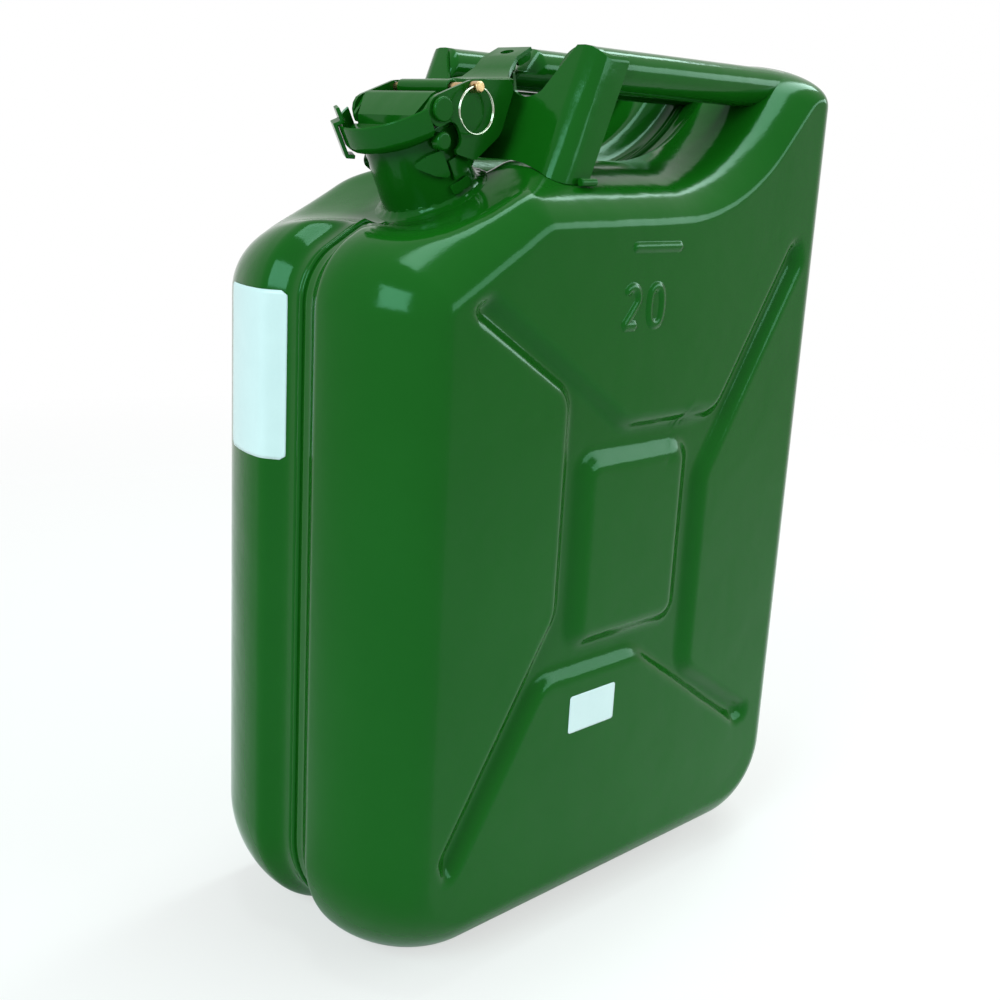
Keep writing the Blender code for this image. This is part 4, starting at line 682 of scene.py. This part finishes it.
def split_ring(finish):
    """Two turns of spring wire: a helix that steps over by one wire's width."""
    low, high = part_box("pull_ring")
    wire = (high.y - low.y) / 4
    radius = (high.x - low.x) / 2 - wire
    centre = np.array(((low.x + high.x) / 2, (low.y + high.y) / 2, (low.z + high.z) / 2))
    turn = np.linspace(0, 4 * math.pi, RING_POINTS) + RING_START
    step = soft_step(turn - turn[0], *RING_STEP)
    across_y = (step - 0.5) * 2 * wire
    path = centre + np.stack([radius * np.cos(turn), across_y, radius * np.sin(turn)], axis=-1)
    across, up = circle(1.0, BEAD_STEPS)
    size = wire * round_ends(path, wire)
    rows = tube_rows(path, np.outer(size, across), ((0, 1, 0), np.outer(size, up)))
    points, faces = skin(rows, start_pole=path[0], end_pole=path[-1])
    faces = facing_out(points, faces)
    node = ["pull_ring"]
    return make_piece("split_ring", points, faces, "pull_ring", finish, node)


# Finishes


def new_group(name, inputs, outputs):
    """An empty node group with named number inputs (name, default) and outputs."""
    group = bpy.data.node_groups.new(name, "ShaderNodeTree")
    for socket, value in inputs:
        made = group.interface.new_socket(socket, in_out="INPUT", socket_type="NodeSocketFloat")
        made.default_value = value
    for socket, kind in outputs:
        group.interface.new_socket(socket, in_out="OUTPUT", socket_type=kind)
    return group, group.nodes.new("NodeGroupInput"), group.nodes.new("NodeGroupOutput")


def noise_node(tree, scale, detail=2.0, roughness=0.5):
    place = tree.nodes.new("ShaderNodeTexCoord")
    noise = tree.nodes.new("ShaderNodeTexNoise")
    noise.inputs["Scale"].default_value = scale
    noise.inputs["Detail"].default_value = detail
    noise.inputs["Roughness"].default_value = roughness
    tree.links.new(place.outputs["Object"], noise.inputs["Vector"])
    return noise


def maths(tree, kind, first, second):
    node = tree.nodes.new("ShaderNodeMath")
    node.operation = kind
    for socket, value in zip(node.inputs, (first, second)):
        if isinstance(value, (int, float)):
            socket.default_value = value
        else:
            tree.links.new(value, socket)
    return node.outputs[0]


PEEL_FINE_SCALE = 420.0
PEEL_SLOW_SCALE = 34.0


def orange_peel_group():
    """The waves that thick sprayed enamel dries with, as a height."""
    group, given, out = new_group(
        "orange_peel", [("Fine", 1.0), ("Slow", 1.0)], [("Height", "NodeSocketFloat")]
    )
    fine = noise_node(group, PEEL_FINE_SCALE, 1.0)
    slow = noise_node(group, PEEL_SLOW_SCALE, 2.0)
    fine_height = maths(group, "MULTIPLY", fine.outputs["Fac"], given.outputs["Fine"])
    slow_height = maths(group, "MULTIPLY", slow.outputs["Fac"], given.outputs["Slow"])
    total = maths(group, "ADD", fine_height, slow_height)
    group.links.new(total, out.inputs["Height"])
    return group


def uneven_group():
    """A soft cloud of values round 0, for colour and gloss that vary over a surface."""
    group, given, out = new_group(
        "uneven", [("Strength", 0.1), ("Scale", 20.0)], [("Value", "NodeSocketFloat")]
    )
    noise = noise_node(group, 20.0, 4.0, 0.6)
    group.links.new(given.outputs["Scale"], noise.inputs["Scale"])
    centred = maths(group, "SUBTRACT", noise.outputs["Fac"], 0.5)
    scaled = maths(group, "MULTIPLY", centred, given.outputs["Strength"])
    group.links.new(scaled, out.inputs["Value"])
    return group


def place_group(tree, group, **values):
    node = tree.nodes.new("ShaderNodeGroup")
    node.node_tree = group
    for name, value in values.items():
        node.inputs[name].default_value = value
    return node


def new_finish(name, colour, roughness, metallic):
    made = bpy.data.materials.new(name)
    made.use_nodes = True
    shader = made.node_tree.nodes["Principled BSDF"]
    shader.inputs["Base Color"].default_value = (*colour, 1.0)
    shader.inputs["Roughness"].default_value = roughness
    shader.inputs["Metallic"].default_value = metallic
    return made, made.node_tree, shader


def vary_colour(tree, shader, colour, other, group, strength, scale):
    """Base Color between two colours by a soft cloud."""
    cloud = place_group(tree, group, Strength=strength, Scale=scale)
    mix = tree.nodes.new("ShaderNodeMix")
    mix.data_type = "RGBA"
    mix.inputs["A"].default_value = (*colour, 1.0)
    mix.inputs["B"].default_value = (*other, 1.0)
    tree.links.new(maths(tree, "ADD", cloud.outputs["Value"], 0.5), mix.inputs["Factor"])
    tree.links.new(mix.outputs["Result"], shader.inputs["Base Color"])


def vary_roughness(tree, shader, middle, group, strength, scale):
    cloud = place_group(tree, group, Strength=strength, Scale=scale)
    tree.links.new(maths(tree, "ADD", cloud.outputs["Value"], middle), shader.inputs["Roughness"])


def add_bump(tree, shader, height, distance):
    bump = tree.nodes.new("ShaderNodeBump")
    bump.inputs["Distance"].default_value = distance
    tree.links.new(height, bump.inputs["Height"])
    tree.links.new(bump.outputs["Normal"], shader.inputs["Normal"])


# Per slot: name, colour, roughness, metallic, the cloud's two colours with its strength and
# scale, the gloss cloud's middle, strength and scale, and the bump's fine and slow height and
# its distance
FINISHES = {
    "green_paint": (
        ("green_enamel", (0.005, 0.085, 0.0045), 0.12, 0.0),
        ((0.004, 0.079, 0.0035), (0.006, 0.092, 0.0055), 1.6, 9.0),
        (0.13, 0.10, 26.0),
        (0.05, 0.9, 0.0006),
    ),
    "brass": (
        ("turned_brass", (0.55, 0.36, 0.16), 0.3, 1.0),
        ((0.42, 0.26, 0.12), (0.66, 0.46, 0.24), 2.4, 300.0),
        (0.32, 0.3, 400.0),
        (0.6, 0.0, 0.0001),
    ),
    "bright_wire": (
        ("bright_wire", (0.56, 0.60, 0.48), 0.18, 1.0),
        ((0.46, 0.52, 0.38), (0.66, 0.69, 0.58), 2.0, 260.0),
        (0.18, 0.16, 320.0),
        None,
    ),
    "black_rubber": (
        ("black_rubber", (0.02, 0.02, 0.02), 0.7, 0.0),
        ((0.016, 0.016, 0.016), (0.034, 0.033, 0.031), 2.0, 120.0),
        (0.7, 0.3, 200.0),
        (0.5, 0.1, 0.0003),
    ),
    "bare_steel": (
        ("bare_steel", (0.45, 0.45, 0.44), 0.38, 1.0),
        ((0.36, 0.36, 0.35), (0.55, 0.55, 0.53), 2.0, 160.0),
        (0.38, 0.3, 240.0),
        (0.4, 0.1, 0.0002),
    ),
    "label": (
        ("white_label", (0.64, 0.75, 0.76), 0.35, 0.0),
        ((0.61, 0.72, 0.73), (0.67, 0.78, 0.79), 1.2, 60.0),
        (0.34, 0.2, 90.0),
        (0.3, 0.4, 0.0002),
    ),
}
ENAMEL_SPECULAR = 0.18
ENAMEL_TINT = (0.5, 1.0, 0.72, 1.0)


def make_finish(peel, uneven, base, clouds, gloss, bump):
    """One row of the table above as a material, with its colour, gloss and bump varied."""
    made, tree, shader = new_finish(*base)
    low, high, strength, scale = clouds
    vary_colour(tree, shader, low, high, uneven, strength, scale)
    middle, strength, scale = gloss
    vary_roughness(tree, shader, middle, uneven, strength, scale)
    if bump:
        fine, slow, distance = bump
        waves = place_group(tree, peel, Fine=fine, Slow=slow)
        add_bump(tree, shader, waves.outputs["Height"], distance)
    return made


def make_finishes():
    """Every finish. The enamel reflects less than the rest, and greener."""
    peel, uneven = orange_peel_group(), uneven_group()
    made = {slot: make_finish(peel, uneven, *row) for slot, row in FINISHES.items()}
    enamel = made["green_paint"].node_tree.nodes["Principled BSDF"]
    enamel.inputs["Specular IOR Level"].default_value = ENAMEL_SPECULAR
    enamel.inputs["Specular Tint"].default_value = ENAMEL_TINT
    return made


# The frame's own nodes: rounded edges and their finish

MERGE_DISTANCE = 0.00001
FLAT_ANGLE = math.radians(1)
EDGE_ANGLE = math.radians(32)
EDGE_SEGMENTS = 3
SHADING_WEIGHT = 70
EDGE_SIZE = 0.0005
EDGE_SIZES = {
    "handle_bracket": 0.0008,
    "lever_frame": 0.0007,
    "lid_cap": 0.0008,
    "pivot_rivet_near": 0.0013,
    "pivot_rivet_far": 0.0013,
    "trunnion_near": 0.0013,
    "trunnion_far": 0.0013,
}


def dress_node(name, finish, edge):
    """Merges a node's loose triangles, rounds its edges and gives it its finish."""
    node = frame["nodes"][name]
    node.data.materials.clear()
    node.data.materials.append(finish)
    node.data.polygons.foreach_set("use_smooth", [True] * len(node.data.polygons))
    node.data.polygons.foreach_set("material_index", [0] * len(node.data.polygons))
    weld = node.modifiers.new("merge", "WELD")
    weld.merge_threshold = MERGE_DISTANCE
    flat = node.modifiers.new("flat faces", "DECIMATE")
    flat.decimate_type = "DISSOLVE"
    flat.angle_limit = FLAT_ANGLE
    bevel = node.modifiers.new("edges", "BEVEL")
    bevel.width = edge
    bevel.segments = EDGE_SEGMENTS
    bevel.limit_method = "ANGLE"
    bevel.angle_limit = EDGE_ANGLE
    bevel.use_clamp_overlap = True
    weighted = node.modifiers.new("shading", "WEIGHTED_NORMAL")
    weighted.weight = SHADING_WEIGHT
    return node


def dress_frame(finishes):
    slots = {row["node"]: row["material_slot"] for row in frame["record"]["subparts"]}
    for name, node in frame["nodes"].items():
        if not node.hide_render:
            dress_node(name, finishes[slots[name]], EDGE_SIZES.get(name, EDGE_SIZE))


# The stage, the lamps and the camera


SOFT_SKY = (0.96, 0.98, 1.0, 1.0)
SOFT_SKY_STRENGTH = 0.38


def make_world():
    """White to the camera and in reflections, and a softer sky for all other light."""
    world = bpy.data.worlds.new("studio")
    bpy.context.scene.world = world
    world.use_nodes = True
    tree = world.node_tree
    tree.nodes.clear()
    path = tree.nodes.new("ShaderNodeLightPath")
    soft = tree.nodes.new("ShaderNodeBackground")
    soft.inputs["Color"].default_value = SOFT_SKY
    soft.inputs["Strength"].default_value = SOFT_SKY_STRENGTH
    white = tree.nodes.new("ShaderNodeBackground")
    white.inputs["Strength"].default_value = 1.0
    white.inputs["Color"].default_value = (1, 1, 1, 1)
    seen = path.outputs["Is Camera Ray"]
    for ray in ("Is Glossy Ray", "Is Transmission Ray"):
        seen = maths(tree, "MAXIMUM", seen, path.outputs[ray])
    mix = tree.nodes.new("ShaderNodeMixShader")
    tree.links.new(seen, mix.inputs["Fac"])
    tree.links.new(soft.outputs[0], mix.inputs[1])
    tree.links.new(white.outputs[0], mix.inputs[2])
    out = tree.nodes.new("ShaderNodeOutputWorld")
    tree.links.new(mix.outputs[0], out.inputs["Surface"])


FLOOR_RADIUS = 1.6
FLOOR_FADE = (0.45, 1.5)
FLOOR_WHITE = 0.6
FLOOR_SIDES = 96
FLOOR_DROP = 0.0002
FLOOR_COLOUR = (0.96, 0.86, 0.85, 1)


def make_floor():
    """A pale round floor that fades out into the white behind it.

    To the camera it is part plain white, so that it stays neutral and keeps a soft shadow.
    """
    bpy.ops.mesh.primitive_circle_add(
        vertices=FLOOR_SIDES, radius=FLOOR_RADIUS, fill_type="TRIFAN"
    )
    floor = bpy.context.object
    floor.name = "floor"
    floor.location = (0, 0, -FLOOR_DROP)
    made = bpy.data.materials.new("pale_floor")
    made.use_nodes = True
    tree = made.node_tree
    tree.nodes.clear()
    place = tree.nodes.new("ShaderNodeTexCoord")
    length = tree.nodes.new("ShaderNodeVectorMath")
    length.operation = "LENGTH"
    tree.links.new(place.outputs["Object"], length.inputs[0])
    fade = tree.nodes.new("ShaderNodeMapRange")
    fade.inputs["From Min"].default_value = FLOOR_FADE[0]
    fade.inputs["From Max"].default_value = FLOOR_FADE[1]
    tree.links.new(length.outputs["Value"], fade.inputs["Value"])
    paper = tree.nodes.new("ShaderNodeBsdfDiffuse")
    paper.inputs["Color"].default_value = FLOOR_COLOUR
    white = tree.nodes.new("ShaderNodeEmission")
    path = tree.nodes.new("ShaderNodeLightPath")
    pale = tree.nodes.new("ShaderNodeMixShader")
    share = maths(tree, "MULTIPLY", path.outputs["Is Camera Ray"], FLOOR_WHITE)
    tree.links.new(share, pale.inputs["Fac"])
    tree.links.new(paper.outputs[0], pale.inputs[1])
    tree.links.new(white.outputs[0], pale.inputs[2])
    clear = tree.nodes.new("ShaderNodeBsdfTransparent")
    mix = tree.nodes.new("ShaderNodeMixShader")
    tree.links.new(fade.outputs["Result"], mix.inputs["Fac"])
    tree.links.new(pale.outputs[0], mix.inputs[1])
    tree.links.new(clear.outputs[0], mix.inputs[2])
    out = tree.nodes.new("ShaderNodeOutputMaterial")
    tree.links.new(mix.outputs[0], out.inputs["Surface"])
    floor.data.materials.append(made)


# Per lamp: its place, the place it looks at, its size, its power in watts, colour and roll
LAMPS = {
    "ceiling_tube": (
        (0.95, 0.17, 2.25), (0.95, 0.17, 0), (2.9, 0.45), 36, (0.76, 1.0, 0.97), math.radians(8.5)
    ),
    "right_window": ((1.5, -1.45, 1.1), (0, 0, 0.25), (3.0, 0.64), 34.5, (0.76, 1.0, 0.97), 0.0),
    "front_left": ((-2.0, -0.5, 1.3), (0, 0, 0.25), (1.0, 1.2), 37, (0.68, 1.0, 1.0), 0.0),
}


def soft_box(name, place, aim, size, power, colour, roll):
    """A rectangular lamp that looks from one place at another, turned a little in its plane."""
    data = bpy.data.lights.new(name, "AREA")
    data.shape = "RECTANGLE"
    data.size, data.size_y = size
    data.energy = power
    data.color = colour
    lamp = bpy.data.objects.new(name, data)
    bpy.context.scene.collection.objects.link(lamp)
    lamp.location = place
    look = (Vector(aim) - Vector(place)).to_track_quat("-Z", "Y")
    lamp.rotation_euler = (look @ Quaternion((0, 0, 1), roll)).to_euler()
    return lamp


def make_lamps():
    for name, lamp in LAMPS.items():
        soft_box(name, *lamp)


def make_camera():
    """The camera from its solved place, yaw, pitch and roll, as rows of its right, up and back."""
    yaw, pitch = CAMERA_YAW, CAMERA_PITCH
    ahead = Vector(
        (math.sin(yaw) * math.cos(pitch), math.cos(yaw) * math.cos(pitch), -math.sin(pitch))
    )
    level = Vector((math.cos(yaw), -math.sin(yaw), 0))
    up = level.cross(ahead)
    right = level * math.cos(CAMERA_ROLL) + up * math.sin(CAMERA_ROLL)
    top = up * math.cos(CAMERA_ROLL) - level * math.sin(CAMERA_ROLL)
    data = bpy.data.cameras.new("camera")
    data.sensor_width = SENSOR_MM
    data.lens = CAMERA_FOCUS_PX * SENSOR_MM / PHOTO_PX
    data.shift_x = (PHOTO_PX / 2 - CAMERA_CENTRE_PX[0]) / PHOTO_PX
    data.shift_y = (CAMERA_CENTRE_PX[1] - PHOTO_PX / 2) / PHOTO_PX
    data.clip_start = CLIP_START
    camera = bpy.data.objects.new("camera", data)
    bpy.context.scene.collection.objects.link(camera)
    turn = Matrix((right, top, -ahead)).transposed().to_4x4()
    camera.matrix_world = Matrix.Translation(CAMERA_PLACE) @ turn
    bpy.context.scene.camera = camera


def dress_can():
    finishes = make_finishes()
    green, label = finishes["green_paint"], finishes["label"]
    shell("shell_near", -1, green)
    shell("shell_far", 1, green)
    seam_bead(green)
    weld_collar(green)
    for name, middle, sink in BARS:
        carrying_bar(name, middle, sink, green)
    split_ring(finishes["bright_wire"])
    figures(green)
    front_label(label)
    face_label(label)
    dress_frame(finishes)


def set_scene():
    bpy.context.scene.view_settings.view_transform = "Standard"
    make_camera()
    make_world()
    make_floor()
    make_lamps()


set_scene()
dress_can()
